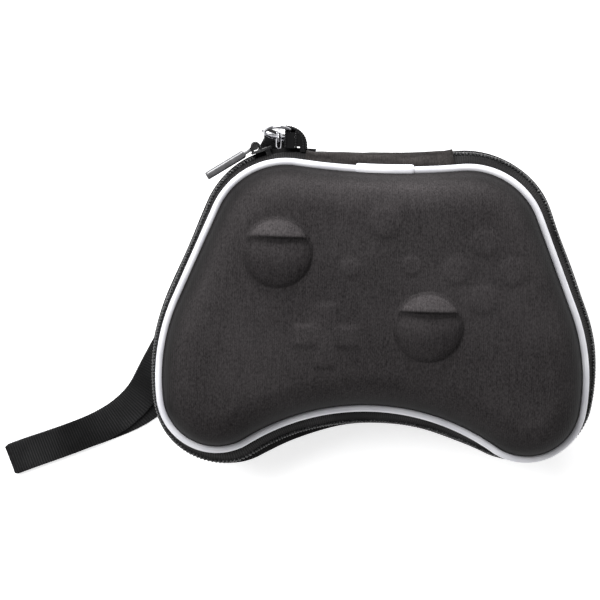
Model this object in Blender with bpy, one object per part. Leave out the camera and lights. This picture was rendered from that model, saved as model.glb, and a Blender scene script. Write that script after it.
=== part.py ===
"""Moulded zip case for a game controller, lying on its back shell with the lid facing up.

Metres, +Z up. The origin is the middle of the flat rest area under the back shell, +Y points to
the hinge side and +X to the right-hand grip. Two padded shells stand on one outline; a soft band
with the zip runs between them, and a fabric panel hinges them at the top.
"""

import math

import bmesh
import bpy
from mathutils import Matrix, Vector

# Outline of the sewn edge, right half: a hollow top, a round shoulder, a leaning side, a grip lobe
# and a hollow arch. The two hollow radii follow from tangency.
TOP_DIP_Y = 0.0520
SHOULDER = Vector((0.0362, 0.0234))
SHOULDER_RADIUS = 0.0307
SIDE_LEAN = math.radians(22.2)
SIDE_RADIUS = 0.078
LOBE = Vector((0.0622, -0.0394))
LOBE_RADIUS = 0.0227
ARCH_CROWN_Y = -0.0434

# Levels and the shell section
SHELL_DEPTH = 0.025
BAND_DEPTH = 0.020
WALL = 0.004
WALL_SWEEP = 0.014
CROWN_RISE = 0.005
RIM_LIP = 0.0020
FRONT_PLATEAU = 0.80
BACK_PLATEAU = 0.55
FIT_GAP = 0.0003

# Sewn edge
PIPING_RADIUS = 0.0015
SLEEVE_START = -0.0093
SLEEVE_END = 0.0137
SLEEVE_THICKNESS = 0.00035
BINDING_THICKNESS = 0.0008
BINDING_HEIGHT = 0.0034

# Zip band: how far the zip stands out from the sewn edge along each kind of stretch
HINGE_REACH = 0.0070
CROWN_REACH = 0.0073
RIGHT_REACH = {"shoulder": 0.0063, "side": 0.0058, "lobe": (0.0038, 0.0014), "arch": 0.0056}
LEFT_REACH = {"shoulder": 0.0049, "side": 0.0041, "lobe": (0.0030, 0.0084), "arch": 0.0104}
COIL_THICKNESS = 0.0019
COIL_WIDTH = 0.0026
TAPE_THICKNESS = 0.0007
TAPE_SETBACK = 0.0011
PANEL_HALF_LENGTH = 0.0300
PANEL_THICKNESS = 0.0012
PANEL_FLARE = 0.0016
TAPE_TUCK = 0.0040

# Slider and pull
SLIDER_STANDOFF = 0.0174
SLIDER_FRONT = 0.0062
SLIDER_TAIL = 0.0025
SLIDER_HALF_WIDTH = 0.0047
SLIDER_TAIL_HALF_WIDTH = 0.0038
SLIDER_PLATE = 0.0010
DIAMOND_HALF_WIDTH = 0.0007
DIAMOND_LENGTH = 0.0030
CROWN_LEG = 0.0011
PIVOT_RADIUS = 0.0008
PIVOT_LIFT = 0.0005
PULL_LENGTH = 0.0229
PULL_WIDTH = 0.0056
PULL_THICKNESS = 0.0033
HEAD_LENGTH = 0.0050
HEAD_THICKNESS = 0.0014

# Ring tab, ring, hook and wrist strap
TAB_WIDTH = 0.0064
TAB_THICKNESS = 0.0010
TAB_FOOT = 0.0092
TAB_HEIGHT = 0.0092
NOTCH_START = 0.25
NOTCH_END = 0.68
NOTCH_HEIGHT = 0.0009
RING_SEAT = 0.68
RING_RADIUS = 0.0056
RING_WIRE = 0.00065
RING_TILT = math.radians(66.0)
HOOK_WIRE = 0.0011
CLAW_RADIUS = 0.0034
HOOK_SHANK = 0.0042
BARREL_RADIUS = 0.0019
SWIVEL_RADIUS = 0.0008
EYE_HALF_WIDTH = 0.0071
EYE_HEIGHT = 0.0034
EYE_WIRE = 0.0007
GATE_RADIUS = 0.0007
GATE_FOOT = -56.0
GATE_TIP_RADIUS = 0.00035
GATE_TIP = 22.0
NOSE_RADIUS = 0.0006
NOSE_TIP = 34.0
NOSE_TAPER = 0.7
GATE_CLEARANCE = 6.0
STRAP_WIDTH = 0.0130
STRAP_NECK_WIDTH = 0.0120
STRAP_NECK = 0.0120
STRAP_THICKNESS = 0.0011
STRAP_PLY_GAP = 0.0006
STRAP_FAN = 0.0060
STRAP_FAN_AT = 0.1240
STRAP_FAN_SPREAD = 0.0180

# The strap's route: from under the hook's eye to the surface, past the case's edge and out beside it
STRAP_ROUTE = [Vector(point) for point in (
    (-0.0406, 0.0613, 0.0100), (-0.0420, 0.0580, 0.0050), (-0.0448, 0.0522, 0.0025),
    (-0.0490, 0.0440, 0.0015), (-0.0570, 0.0275, 0.0014), (-0.0660, 0.0095, 0.0014),
    (-0.0750, -0.0085, 0.0014), (-0.0832, -0.0225, 0.0014), (-0.0893, -0.0345, 0.0014),
    (-0.0945, -0.0450, 0.0014), (-0.1018, -0.0530, 0.0014), (-0.1105, -0.0588, 0.0014),
    (-0.1200, -0.0632, 0.0014), (-0.1300, -0.0673, 0.0014), (-0.1400, -0.0712, 0.0014),
    (-0.1473, -0.0742, 0.0014))]

# Moulded shapes on the lid: place in plan, radius, height over the face
THUMB_RADIUS = 0.0138
THUMB_HEIGHT = 0.0052
THUMB_LIP = 0.0009
THUMB_LIP_INSET = 0.0003
THUMB_CHORD = 0.0060
THUMBS = (Vector((-0.0394, 0.0191)), Vector((0.0207, -0.0084)))
FACE_BUTTON_RADIUS = 0.0054
FACE_BUTTON_HEIGHT = 0.0011
FACE_BUTTONS = Vector((0.0420, 0.0141))
FACE_BUTTON_SPREAD = 0.0112
SMALL_BUTTON_RADIUS = 0.0036
SMALL_BUTTONS = (Vector((-0.0104, 0.0139)), Vector((0.0135, 0.0155)))
CENTRE_BUTTON = Vector((0.0024, 0.0323))
CENTRE_BUTTON_RADIUS = 0.0060
CROSS = Vector((-0.0193, -0.0132))
CROSS_REACH = 0.0125
CROSS_ARM = 0.0034
CROSS_HEIGHT = 0.0011

# Derived levels
BACK_EDGE_Z = SHELL_DEPTH
FRONT_EDGE_Z = SHELL_DEPTH + BAND_DEPTH
MID_Z = SHELL_DEPTH + BAND_DEPTH / 2
SHELL_INSET = PIPING_RADIUS + FIT_GAP
WALL_RISE = SHELL_DEPTH - CROWN_RISE
FACE_CENTRE = Vector((0.0, 0.0))

CHARCOAL = (0.045, 0.041, 0.040, 1.0)
LINING = (0.030, 0.030, 0.032, 1.0)
WHITE = (0.82, 0.82, 0.85, 1.0)
TAPE_BLACK = (0.022, 0.024, 0.024, 1.0)
PANEL_BROWN = (0.070, 0.060, 0.057, 1.0)
WEBBING_BLACK = (0.018, 0.018, 0.019, 1.0)
CHROME = (0.80, 0.80, 0.82, 1.0)
GUNMETAL = (0.30, 0.30, 0.31, 1.0)


def clear_scene():
    for item in list(bpy.data.objects):
        bpy.data.objects.remove(item, do_unlink=True)


def material(name, colour, roughness, metallic=0.0):
    result = bpy.data.materials.new(name)
    result.use_nodes = True
    shader = result.node_tree.nodes["Principled BSDF"]
    shader.inputs["Base Color"].default_value = colour
    shader.inputs["Roughness"].default_value = roughness
    shader.inputs["Metallic"].default_value = metallic
    return result


def add_object(name, bm, look, parent=None, smooth_angle=40.0):
    """Turn a bmesh into a named object with outward faces."""
    bmesh.ops.recalc_face_normals(bm, faces=bm.faces)
    mesh = bpy.data.meshes.new(name)
    bm.to_mesh(mesh)
    bm.free()
    mesh.shade_smooth()
    mesh.set_sharp_from_angle(angle=math.radians(smooth_angle))
    mesh.materials.append(look)
    item = bpy.data.objects.new(name, mesh)
    bpy.context.collection.objects.link(item)
    item.parent = parent
    return item


def add_empty(name, location, turn=None, parent=None):
    item = bpy.data.objects.new(name, None)
    bpy.context.collection.objects.link(item)
    item.parent = parent
    item.matrix_local = Matrix.Translation(location) @ (turn or Matrix.Identity(4))
    return item


def combine(target, tool, operation):
    """Boolean with a tool that stays hidden beside its target."""
    tool.hide_render = True
    tool.display_type = "WIRE"
    step = target.modifiers.new(tool.name, "BOOLEAN")
    step.operation = operation
    step.solver = "EXACT"
    step.object = tool


# The outline: stations of (point, outward normal, zip reach)

def polar(radius, angle):
    return Vector((radius * math.cos(angle), radius * math.sin(angle)))


def arc(centre, radius, start, end, steps, reaches, side=1):
    """Stations on an arc without its last point; side is -1 where the outline is hollow."""
    stations = []
    for index in range(steps):
        share = index / steps
        angle = start + (end - start) * share
        reach = reaches[0] + (reaches[1] - reaches[0]) * share
        stations.append((centre + polar(radius, angle), polar(side, angle), reach))
    return stations


def tangent_radius(drop, across, radius):
    """Radius of a hollow arc, symmetric about X = 0, that touches a circle beside it."""
    return (across * across + drop * drop - radius * radius) / (2 * (radius - drop))


def right_half(reach):
    """Stations from the top centre round the right-hand side to the arch crown."""
    top_radius = tangent_radius(TOP_DIP_Y - SHOULDER.y, SHOULDER.x, SHOULDER_RADIUS)
    arch_radius = tangent_radius(LOBE.y - ARCH_CROWN_Y, LOBE.x, LOBE_RADIUS)
    top_centre = Vector((0.0, TOP_DIP_Y + top_radius))
    arch_centre = Vector((0.0, ARCH_CROWN_Y - arch_radius))
    top_turn = math.atan2(SHOULDER.x, top_centre.y - SHOULDER.y)

    lean = polar(1.0, SIDE_LEAN)
    along = Vector((lean.y, -lean.x))
    inward = SHOULDER + lean * (SHOULDER_RADIUS - SIDE_RADIUS)
    reach_to_lobe = LOBE - inward
    across = reach_to_lobe.dot(lean)
    straight = reach_to_lobe.dot(along) - math.sqrt((SIDE_RADIUS - LOBE_RADIUS) ** 2 - across ** 2)
    side_centre = inward + along * straight
    lobe_start = math.atan2(LOBE.y - side_centre.y, LOBE.x - side_centre.x)
    lobe_end = math.atan2(arch_centre.y - LOBE.y, arch_centre.x - LOBE.x)
    arch_start = lobe_end + math.pi

    stations = arc(top_centre, top_radius, -math.pi / 2, -math.pi / 2 + top_turn, 5, (HINGE_REACH,) * 2, -1)
    shoulder_turn = math.pi / 2 + top_turn
    stations += arc(SHOULDER, SHOULDER_RADIUS, shoulder_turn, SIDE_LEAN, 9, (reach["shoulder"],) * 2)
    side_start = SHOULDER + lean * SHOULDER_RADIUS
    for index in range(6):
        stations.append((side_start + along * straight * index / 6, lean, reach["side"]))
    stations += arc(side_centre, SIDE_RADIUS, SIDE_LEAN, lobe_start, 5, (reach["side"],) * 2)
    stations += arc(LOBE, LOBE_RADIUS, lobe_start, lobe_end, 12, reach["lobe"])
    stations += arc(arch_centre, arch_radius, arch_start, math.pi / 2, 8, (reach["arch"], CROWN_REACH), -1)
    stations.append((Vector((0.0, ARCH_CROWN_Y)), Vector((0.0, -1.0)), CROWN_REACH))
    return stations


def mirrored(station):
    point, normal, reach = station
    return Vector((-point.x, point.y)), Vector((-normal.x, normal.y)), reach


def smooth_reach(stations, passes=6):
    """Let the zip's reach run evenly from one stretch to the next."""
    reaches = [station[2] for station in stations]
    for _ in range(passes):
        count = len(reaches)
        reaches = [(reaches[i - 1] + 2 * reaches[i] + reaches[(i + 1) % count]) / 4 for i in range(count)]
    return [(point, normal, reach) for (point, normal, _), reach in zip(stations, reaches)]


def outline():
    """The closed outline, clockwise seen from above, from the top centre."""
    left = [mirrored(station) for station in reversed(right_half(LEFT_REACH)[1:-1])]
    return smooth_reach(right_half(RIGHT_REACH) + left)


OUTLINE = outline()


def outline_length():
    count = len(OUTLINE)
    return sum((OUTLINE[(i + 1) % count][0] - OUTLINE[i][0]).length for i in range(count))


PERIMETER = outline_length()


def blend_stations(first, second, share):
    normal = first[1].lerp(second[1], share).normalized()
    return first[0].lerp(second[0], share), normal, first[2] + (second[2] - first[2]) * share


def stretch(start, end):
    """Stations from start to end, measured along the outline from the top centre."""
    stations = []
    travelled = -PERIMETER
    count = len(OUTLINE)
    for lap in range(3 * count):
        first = OUTLINE[lap % count]
        second = OUTLINE[(lap + 1) % count]
        step = (second[0] - first[0]).length
        if travelled < start <= travelled + step:
            stations.append(blend_stations(first, second, (start - travelled) / step))
        elif start < travelled < end:
            stations.append(first)
        if travelled < end <= travelled + step:
            stations.append(blend_stations(first, second, (end - travelled) / step))
            break
        travelled += step
    return stations


def slider_place():
    """Outline distance, zip reach and bearing from the left shoulder's centre of the slider."""
    distance = PERIMETER - PANEL_HALF_LENGTH - SLIDER_STANDOFF
    point, _, reach = stretch(distance, distance + FIT_GAP)[0]
    spot = point - Vector((-SHOULDER.x, SHOULDER.y))
    return distance, reach, math.atan2(spot.y, spot.x)


SLIDER_DISTANCE, SLIDER_REACH, SLIDER_ANGLE = slider_place()


# Shapes swept along the outline

def sweep(stations, section, closed):
    """Sweep a section, a function from a station to (outward, z) pairs, along the stations."""
    bm = bmesh.new()
    rings = []
    for station in stations:
        point, normal, _ = station
        ring = [bm.verts.new((*(point + normal * out), z)) for out, z in section(station)]
        rings.append(ring)
    sides = len(rings[0])
    pairs = list(zip(rings, rings[1:]))
    if closed:
        pairs.append((rings[-1], rings[0]))
    for first, second in pairs:
        for i in range(sides):
            j = (i + 1) % sides
            bm.faces.new((first[i], first[j], second[j], second[i]))
    if not closed:
        bm.faces.new(rings[0])
        bm.faces.new(reversed(rings[-1]))
    return bm


def piping_section(level, sides=8):
    ring = [polar(PIPING_RADIUS, 2 * math.pi * i / sides) for i in range(sides)]
    return lambda station: [(spot.x, level + spot.y) for spot in ring]


def sleeve_section(level, outside):
    """A wrap open towards the shell; outside is +1 for the front edge and -1 for the back."""
    inner = PIPING_RADIUS + FIT_GAP
    outer = inner + SLEEVE_THICKNESS
    angles = [math.radians(-45.0 + 165.0 * i / 8) for i in range(9)]
    spots = [polar(outer, angle) for angle in angles] + [polar(inner, angle) for angle in reversed(angles)]
    return lambda station: [(spot.x, level + outside * spot.y) for spot in spots]


def binding_section(edge_level, outside):
    """The flat tape that covers the raw edge inside the case."""
    near = -(SHELL_INSET + WALL + FIT_GAP)
    far = near - BINDING_THICKNESS
    low = edge_level - outside * RIM_LIP
    high = low + outside * BINDING_HEIGHT
    return lambda station: [(near, low), (near, high), (far, high), (far, low)]


BAND_SHARES = (0.0, 0.12, 0.28, 0.55, 1.0)


def tape_face(reach, share):
    """Outer face of the zip tape: share runs from 0 at the piping to 1 at the zip."""
    foot = -PIPING_RADIUS * 0.2
    return foot + (reach - COIL_THICKNESS - FIT_GAP - foot) * (1 - (1 - share) ** 3)


def tape_profile(reach):
    """The tape's outer face as (outward, height over the parting level), from the piping to the zip."""
    foot_z = BAND_DEPTH / 2 - PIPING_RADIUS - FIT_GAP
    return [(tape_face(reach, share), foot_z + (TAPE_SETBACK - foot_z) * share) for share in BAND_SHARES]


def tape_section(outside):
    """Half of the band, from under the piping to its edge behind the zip's teeth."""
    def section(station):
        outer = [(out, MID_Z + outside * z) for out, z in tape_profile(station[2])]
        inner = [(out - TAPE_THICKNESS, z) for out, z in reversed(outer)]
        return outer + inner
    return section


def coil_section(outside):
    """One row of the closed zip, a rounded strip on the tape's face."""
    corner = COIL_THICKNESS * 0.3

    def section(station):
        crest = station[2]
        foot = crest - COIL_THICKNESS
        near = FIT_GAP / 2
        far = near + COIL_WIDTH
        shape = [(foot, near), (crest, near), (crest, far - corner), (crest - corner, far), (foot, far)]
        return [(out, MID_Z + outside * z) for out, z in shape]
    return section


def panel_section(station):
    """The fabric panel at the hinge, which covers the ends of the zip tapes."""
    rise = [(out + FIT_GAP, z) for out, z in tape_profile(station[2])]
    inner = [(out, MID_Z + z) for out, z in rise] + [(out, MID_Z - z) for out, z in reversed(rise)]
    slack = PANEL_FLARE * (station[0].x / PANEL_HALF_LENGTH + 1) / 2
    outer = [(out + PANEL_THICKNESS + slack, z) for out, z in reversed(inner)]
    return inner + outer


def add_band(looks):
    start = PANEL_HALF_LENGTH - TAPE_TUCK
    tape_run = stretch(start, PERIMETER - start)
    coil_run = stretch(PANEL_HALF_LENGTH + FIT_GAP, SLIDER_DISTANCE - FIT_GAP)
    for side, outside in (("front", 1), ("back", -1)):
        add_object(side + "_zip_tape", sweep(tape_run, tape_section(outside), False), looks["tape"])
        add_object(side + "_zip_coil", sweep(coil_run, coil_section(outside), False), looks["coil"])
    panel = sweep(stretch(-PANEL_HALF_LENGTH, PANEL_HALF_LENGTH), panel_section, False)
    add_object("hinge_panel", panel, looks["panel"])


def add_edges(looks):
    for side, outside, level in (("front", 1, FRONT_EDGE_Z), ("back", -1, BACK_EDGE_Z)):
        add_object(side + "_piping", sweep(OUTLINE, piping_section(level), True), looks["piping"])
        wrap = sweep(stretch(SLEEVE_START, SLEEVE_END), sleeve_section(level, outside), False)
        add_object(side + "_piping_sleeve", wrap, looks["piping"])
        binding = sweep(OUTLINE, binding_section(level, outside), True)
        add_object(side + "_binding", binding, looks["binding"])


# The moulded shells

def wall_profile(steps, offset=0.0):
    """(inset, rise) pairs up the rounded wall; offset moves the surface inwards."""
    centre = SHELL_INSET + WALL_SWEEP
    pairs = []
    for index in range(steps + 1):
        turn = math.pi / 2 * index / steps
        inset = centre - (WALL_SWEEP - offset) * math.cos(turn)
        pairs.append((inset, (WALL_RISE - offset) * math.sin(turn)))
    return pairs


def crown_rise(pull, plateau):
    """Rise of the face over its shoulder at a share of the way to the centre."""
    share = min(pull / plateau, 1.0)
    return CROWN_RISE * (1.0 - (1.0 - share) ** 2)


def shell_rings(steps, pulls, plateau, offset):
    """(inset, rise, pull) for each ring of one surface of a shell, from the rim to the plateau."""
    profile = wall_profile(steps, offset)
    rings = [(profile[0][0], -RIM_LIP, 0.0)]
    rings += [(inset, rise, 0.0) for inset, rise in profile]
    inset, rise = profile[-1]
    rings += [(inset, rise + crown_rise(pull, plateau), pull) for pull in pulls]
    return rings


def ring_point(station, inset, pull):
    point = station[0] - station[1] * inset
    return point.lerp(FACE_CENTRE, pull)


def shell_mesh(edge_level, outside, plateau):
    """One closed laminate: outer skin, inner skin and the rim between them."""
    pulls = [plateau * share for share in (0.22, 0.5, 0.78, 1.0)]
    bm = bmesh.new()
    skins = []
    for steps, inner_pulls, offset in ((5, pulls, 0.0), (4, pulls[1::2], WALL)):
        skin = []
        for inset, rise, pull in shell_rings(steps, inner_pulls, plateau, offset):
            level = edge_level + outside * rise
            skin.append([bm.verts.new((*ring_point(station, inset, pull), level)) for station in OUTLINE])
        skins.append(skin)
    strips = [pair for skin in skins for pair in zip(skin, skin[1:])]
    strips.append((skins[0][0], skins[1][0]))
    for first, second in strips:
        count = len(first)
        for i in range(count):
            j = (i + 1) % count
            bm.faces.new((first[i], first[j], second[j], second[i]))
    for skin in skins:
        bm.faces.new(skin[-1])
    return bm


def face_height(spot):
    """Level of the lid's outer face at a place in plan."""
    inset, rise = wall_profile(5)[-1]
    rim = [station[0] - station[1] * inset for station in OUTLINE]
    distance = (spot - FACE_CENTRE).length
    sight = (spot - FACE_CENTRE) / max(distance, 1e-9)
    edge = distance
    for first, second in zip(rim, rim[1:] + rim[:1]):
        run = second - first
        det = run.x * sight.y - run.y * sight.x
        if abs(det) < 1e-12:
            continue
        reach = (run.x * first.y - run.y * first.x) / det
        share = (sight.x * first.y - sight.y * first.x) / det
        if reach > 0 and 0 <= share <= 1:
            edge = reach
    pull = 1.0 - min(distance / edge, 1.0)
    return FRONT_EDGE_Z + rise + crown_rise(pull, FRONT_PLATEAU)


def face_frame(spot):
    """A frame on the lid's face whose Z is the face's normal."""
    step = 0.004
    level = face_height(spot)
    slope_x = (face_height(spot + Vector((step, 0))) - face_height(spot - Vector((step, 0)))) / (2 * step)
    slope_y = (face_height(spot + Vector((0, step))) - face_height(spot - Vector((0, step)))) / (2 * step)
    normal = Vector((-slope_x, -slope_y, 1.0)).normalized()
    turn = Vector((0, 0, 1)).rotation_difference(normal).to_matrix().to_4x4()
    return Matrix.Translation((spot.x, spot.y, level)) @ turn


def dome_mesh(radius, height, depth, segments, rings):
    """A round-topped plug that stands depth below and height above the face."""
    bm = bmesh.new()
    profile = [(0.0, -depth), (radius, -depth)]
    for index in range(rings):
        turn = math.pi / 2 * index / rings
        profile.append((radius * math.cos(turn), height * math.sin(turn)))
    profile.append((0.0, height))
    spots = [bm.verts.new((x, 0.0, z)) for x, z in profile]
    edges = [bm.edges.new(pair) for pair in zip(spots, spots[1:])]
    bmesh.ops.spin(bm, geom=spots + edges, cent=(0, 0, 0), axis=(0, 0, 1),
                   angle=2 * math.pi, steps=segments, use_merge=True)
    bmesh.ops.remove_doubles(bm, verts=bm.verts, dist=1e-6)
    return bm


def lip_mesh(depth):
    """The upper end of a thumb dome, raised behind a straight step."""
    bm = dome_mesh(THUMB_RADIUS - THUMB_LIP_INSET, THUMB_HEIGHT + THUMB_LIP, depth / 2, 36, 7)
    whole = bm.verts[:] + bm.edges[:] + bm.faces[:]
    cut = bmesh.ops.bisect_plane(bm, geom=whole, plane_co=(0, THUMB_CHORD, 0), plane_no=(0, 1, 0), clear_inner=True)
    rim = [part for part in cut["geom_cut"] if isinstance(part, bmesh.types.BMEdge)]
    bmesh.ops.contextual_create(bm, geom=rim)
    return bm


def cross_mesh(reach, arm, height, depth):
    """A plus-shaped plug with tapered arms."""
    bm = bmesh.new()
    corners = []
    for quarter in range(4):
        turn = Matrix.Rotation(quarter * math.pi / 2, 2)
        for x, y in ((reach, -arm * 0.7), (reach, arm * 0.7), (arm * 1.2, arm * 1.2)):
            corners.append(turn @ Vector((x, y)))
    low = [bm.verts.new((*corner, -depth)) for corner in corners]
    high = [bm.verts.new((*(corner * 0.86), height)) for corner in corners]
    count = len(corners)
    for i in range(count):
        j = (i + 1) % count
        bm.faces.new((low[i], low[j], high[j], high[i]))
    bm.faces.new(low)
    bm.faces.new(high)
    return bm


def add_bump(lid, name, spot, bm, look, operation="UNION"):
    tool = add_object(name, bm, look)
    tool.matrix_world = face_frame(spot)
    combine(lid, tool, operation)


def add_shells(looks):
    back = shell_mesh(BACK_EDGE_Z, -1, BACK_PLATEAU)
    add_object("back_shell", back, looks["shell"])
    lid = add_object("front_shell", shell_mesh(FRONT_EDGE_Z, 1, FRONT_PLATEAU), looks["shell"])
    sunk = WALL / 2
    for index, spot in enumerate(THUMBS):
        plug = dome_mesh(THUMB_RADIUS, THUMB_HEIGHT, sunk, 28, 5)
        add_bump(lid, f"thumb_dome_{index}", spot, plug, looks["shell"])
        add_bump(lid, f"thumb_lip_{index}", spot, lip_mesh(sunk), looks["shell"])
        hollow = dome_mesh(THUMB_RADIUS - WALL, THUMB_HEIGHT, WALL, 20, 3)
        bmesh.ops.translate(hollow, verts=hollow.verts, vec=(0, 0, -WALL))
        add_bump(lid, f"thumb_hollow_{index}", spot, hollow, looks["shell"], "DIFFERENCE")
    buttons = [(spot, SMALL_BUTTON_RADIUS) for spot in SMALL_BUTTONS]
    buttons.append((CENTRE_BUTTON, CENTRE_BUTTON_RADIUS))
    for quarter in range(4):
        spot = FACE_BUTTONS + polar(FACE_BUTTON_SPREAD, quarter * math.pi / 2)
        buttons.append((spot, FACE_BUTTON_RADIUS))
    for index, (spot, radius) in enumerate(buttons):
        plug = dome_mesh(radius, FACE_BUTTON_HEIGHT, sunk, 16, 3)
        add_bump(lid, f"button_bump_{index}", spot, plug, looks["shell"])
    add_bump(lid, "cross_bump", CROSS, cross_mesh(CROSS_REACH, CROSS_ARM, CROSS_HEIGHT, sunk), looks["shell"])


# Small solids

def block(bm, low, high):
    """Add a box between two corners."""
    size = Vector(high) - Vector(low)
    centre = (Vector(high) + Vector(low)) / 2
    place = Matrix.Translation(centre) @ Matrix.Diagonal((*size, 1.0))
    bmesh.ops.create_cube(bm, size=1.0, matrix=place)


def extrude_outline(points, place, low, high):
    """Extrude a plane outline between two distances; place maps (u, v, distance) to a point."""
    bm = bmesh.new()
    bottom = [bm.verts.new(place(u, v, low)) for u, v in points]
    top = [bm.verts.new(place(u, v, high)) for u, v in points]
    count = len(points)
    for i in range(count):
        j = (i + 1) % count
        bm.faces.new((bottom[i], bottom[j], top[j], top[i]))
    bm.faces.new(bottom)
    bm.faces.new(top)
    return bm


def frames_along(points, closed):
    """Position and two cross directions at each point of a path."""
    count = len(points)
    tangents = []
    for i in range(count):
        before = points[i - 1] if i or closed else points[0]
        after = points[(i + 1) % count] if i < count - 1 or closed else points[-1]
        tangents.append((after - before).normalized())
    side = tangents[0].orthogonal().normalized()
    frames = []
    for point, tangent in zip(points, tangents):
        side = (side - tangent * side.dot(tangent)).normalized()
        frames.append((point, side, tangent.cross(side)))
    return frames


def tube(points, radii, sides, closed=False):
    """A round bar along a path; radii holds one radius for each point."""
    bm = bmesh.new()
    rings = []
    for (point, side, up), radius in zip(frames_along(points, closed), radii):
        turns = [2 * math.pi * i / sides for i in range(sides)]
        rings.append([bm.verts.new(point + (side * math.cos(t) + up * math.sin(t)) * radius) for t in turns])
    pairs = list(zip(rings, rings[1:]))
    if closed:
        pairs.append((rings[-1], rings[0]))
    for first, second in pairs:
        for i in range(sides):
            j = (i + 1) % sides
            bm.faces.new((first[i], first[j], second[j], second[i]))
    if not closed:
        bm.faces.new(rings[0])
        bm.faces.new(reversed(rings[-1]))
    return bm


# Slider and pull: X runs outwards from the shoulder's centre, Y back along the closed zip

CREST = SHOULDER_RADIUS + SLIDER_REACH
PLATE_BASE = CREST + FIT_GAP
PLATE_TOP = PLATE_BASE + SLIDER_PLATE
PIVOT_OUT = PLATE_TOP + FIT_GAP + PIVOT_RADIUS + PIVOT_LIFT
ARCH_INSIDE = PIVOT_OUT + PIVOT_RADIUS + FIT_GAP
SLIDER_SAG = SLIDER_FRONT ** 2 / (2 * SHOULDER_RADIUS)
TAPE_INSIDE = CREST - COIL_THICKNESS - FIT_GAP - TAPE_THICKNESS
INNER_PLATE_TOP = TAPE_INSIDE - FIT_GAP - SLIDER_SAG


def slider_plate(low, high):
    """A shield-shaped plate, wide where the two rows come together."""
    points = [(-SLIDER_FRONT, -SLIDER_HALF_WIDTH * 0.72), (-SLIDER_FRONT * 0.72, -SLIDER_HALF_WIDTH),
              (0.0, -SLIDER_TAIL_HALF_WIDTH), (SLIDER_TAIL, -SLIDER_TAIL_HALF_WIDTH)]
    points += [(u, -v) for u, v in reversed(points)]
    return extrude_outline(points, lambda u, v, w: (w, u, v), low, high)


def add_slider(looks):
    centre = Vector((-SHOULDER.x, SHOULDER.y, MID_Z))
    turn = Matrix.Rotation(SLIDER_ANGLE, 4, "Z")
    axis = add_empty("slider_axis", centre, turn)
    body = add_object("slider_body", slider_plate(PLATE_BASE, PLATE_TOP), looks["metal"], axis)
    body_parts = []

    lower = slider_plate(INNER_PLATE_TOP - SLIDER_PLATE, INNER_PLATE_TOP)
    body_parts.append(add_object("slider_inner_plate", lower, looks["metal"], axis))

    diamond = [(-SLIDER_FRONT + SLIDER_PLATE, 0.0), (-SLIDER_FRONT + DIAMOND_LENGTH * 0.6, -DIAMOND_HALF_WIDTH),
               (-SLIDER_FRONT + DIAMOND_LENGTH, 0.0), (-SLIDER_FRONT + DIAMOND_LENGTH * 0.6, DIAMOND_HALF_WIDTH)]
    post = extrude_outline(diamond, lambda u, v, w: (w, u, v), INNER_PLATE_TOP - SLIDER_PLATE / 2,
                           PLATE_TOP - SLIDER_PLATE / 2)
    body_parts.append(add_object("slider_diamond", post, looks["metal"], axis))

    crown_half = CROWN_LEG / 2
    crown_foot = PLATE_TOP - SLIDER_PLATE / 2
    crown_top = ARCH_INSIDE + CROWN_LEG
    crown_reach = PIVOT_RADIUS + FIT_GAP + CROWN_LEG
    outer = [(-crown_reach, crown_foot), (-crown_reach, ARCH_INSIDE), (-crown_reach * 0.5, crown_top),
             (crown_reach * 0.5, crown_top), (crown_reach, ARCH_INSIDE), (crown_reach, crown_foot)]
    inner_reach = crown_reach - CROWN_LEG
    inner = [(inner_reach, crown_foot), (inner_reach, ARCH_INSIDE), (-inner_reach, ARCH_INSIDE),
             (-inner_reach, crown_foot)]
    crown = extrude_outline(outer + inner, lambda u, v, w: (v, u, w), -crown_half, crown_half)
    body_parts.append(add_object("slider_crown", crown, looks["metal"], axis))
    for piece in body_parts:
        combine(body, piece, "UNION")

    # The pull lies back over the closed zip until it meets the tail of the slider or the teeth
    lift = PIVOT_OUT - PLATE_TOP - FIT_GAP
    tail_lean = math.asin(max(lift - HEAD_THICKNESS / 2, 0.0) / math.hypot(SLIDER_TAIL, lift))
    teeth_lean = math.acos(min((CREST + FIT_GAP + PULL_THICKNESS / 2) / PIVOT_OUT, 1.0))
    lean = min(tail_lean, teeth_lean)
    pivot = add_empty("pull_pivot", (PIVOT_OUT, 0, 0), Matrix.Rotation(math.pi / 2 + lean, 4, "Z"), axis)
    add_pull(looks, pivot)

def add_pull(looks, pivot):
    """A bar with an eye whose end runs under the slider's crown."""
    half_width = PULL_WIDTH / 2
    half = PULL_THICKNESS / 2
    head = HEAD_THICKNESS / 2
    eye_half = CROWN_LEG / 2 + FIT_GAP
    eye_start = PIVOT_RADIUS + FIT_GAP / 2
    eye_end = ARCH_INSIDE + CROWN_LEG - PIVOT_OUT + 2 * FIT_GAP
    tip = PULL_LENGTH
    profile = [(eye_start * 0.5, -head), (HEAD_LENGTH, -head), (HEAD_LENGTH + half, -half), (tip - half * 0.4, -half),
               (tip, -half * 0.6), (tip, half * 0.6), (tip - half * 0.4, half), (HEAD_LENGTH + half, half),
               (HEAD_LENGTH, head), (eye_start * 0.5, head)]
    bar = extrude_outline(profile, lambda u, v, w: (u, v, w), -half_width, half_width)
    pull = add_object("pull_tab", bar, looks["metal"], pivot)
    eye = bmesh.new()
    block(eye, (-half_width, -half * 2, -eye_half), (eye_end, half * 2, eye_half))
    combine(pull, add_object("pull_eye", eye, looks["metal"], pivot), "DIFFERENCE")
    ends = [Vector((0, 0, -half_width)), Vector((0, 0, half_width))]
    pin = tube(ends, [PIVOT_RADIUS, PIVOT_RADIUS], 12)
    combine(pull, add_object("pull_pin", pin, looks["metal"], pivot), "UNION")


# Ring tab, ring and hook

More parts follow.
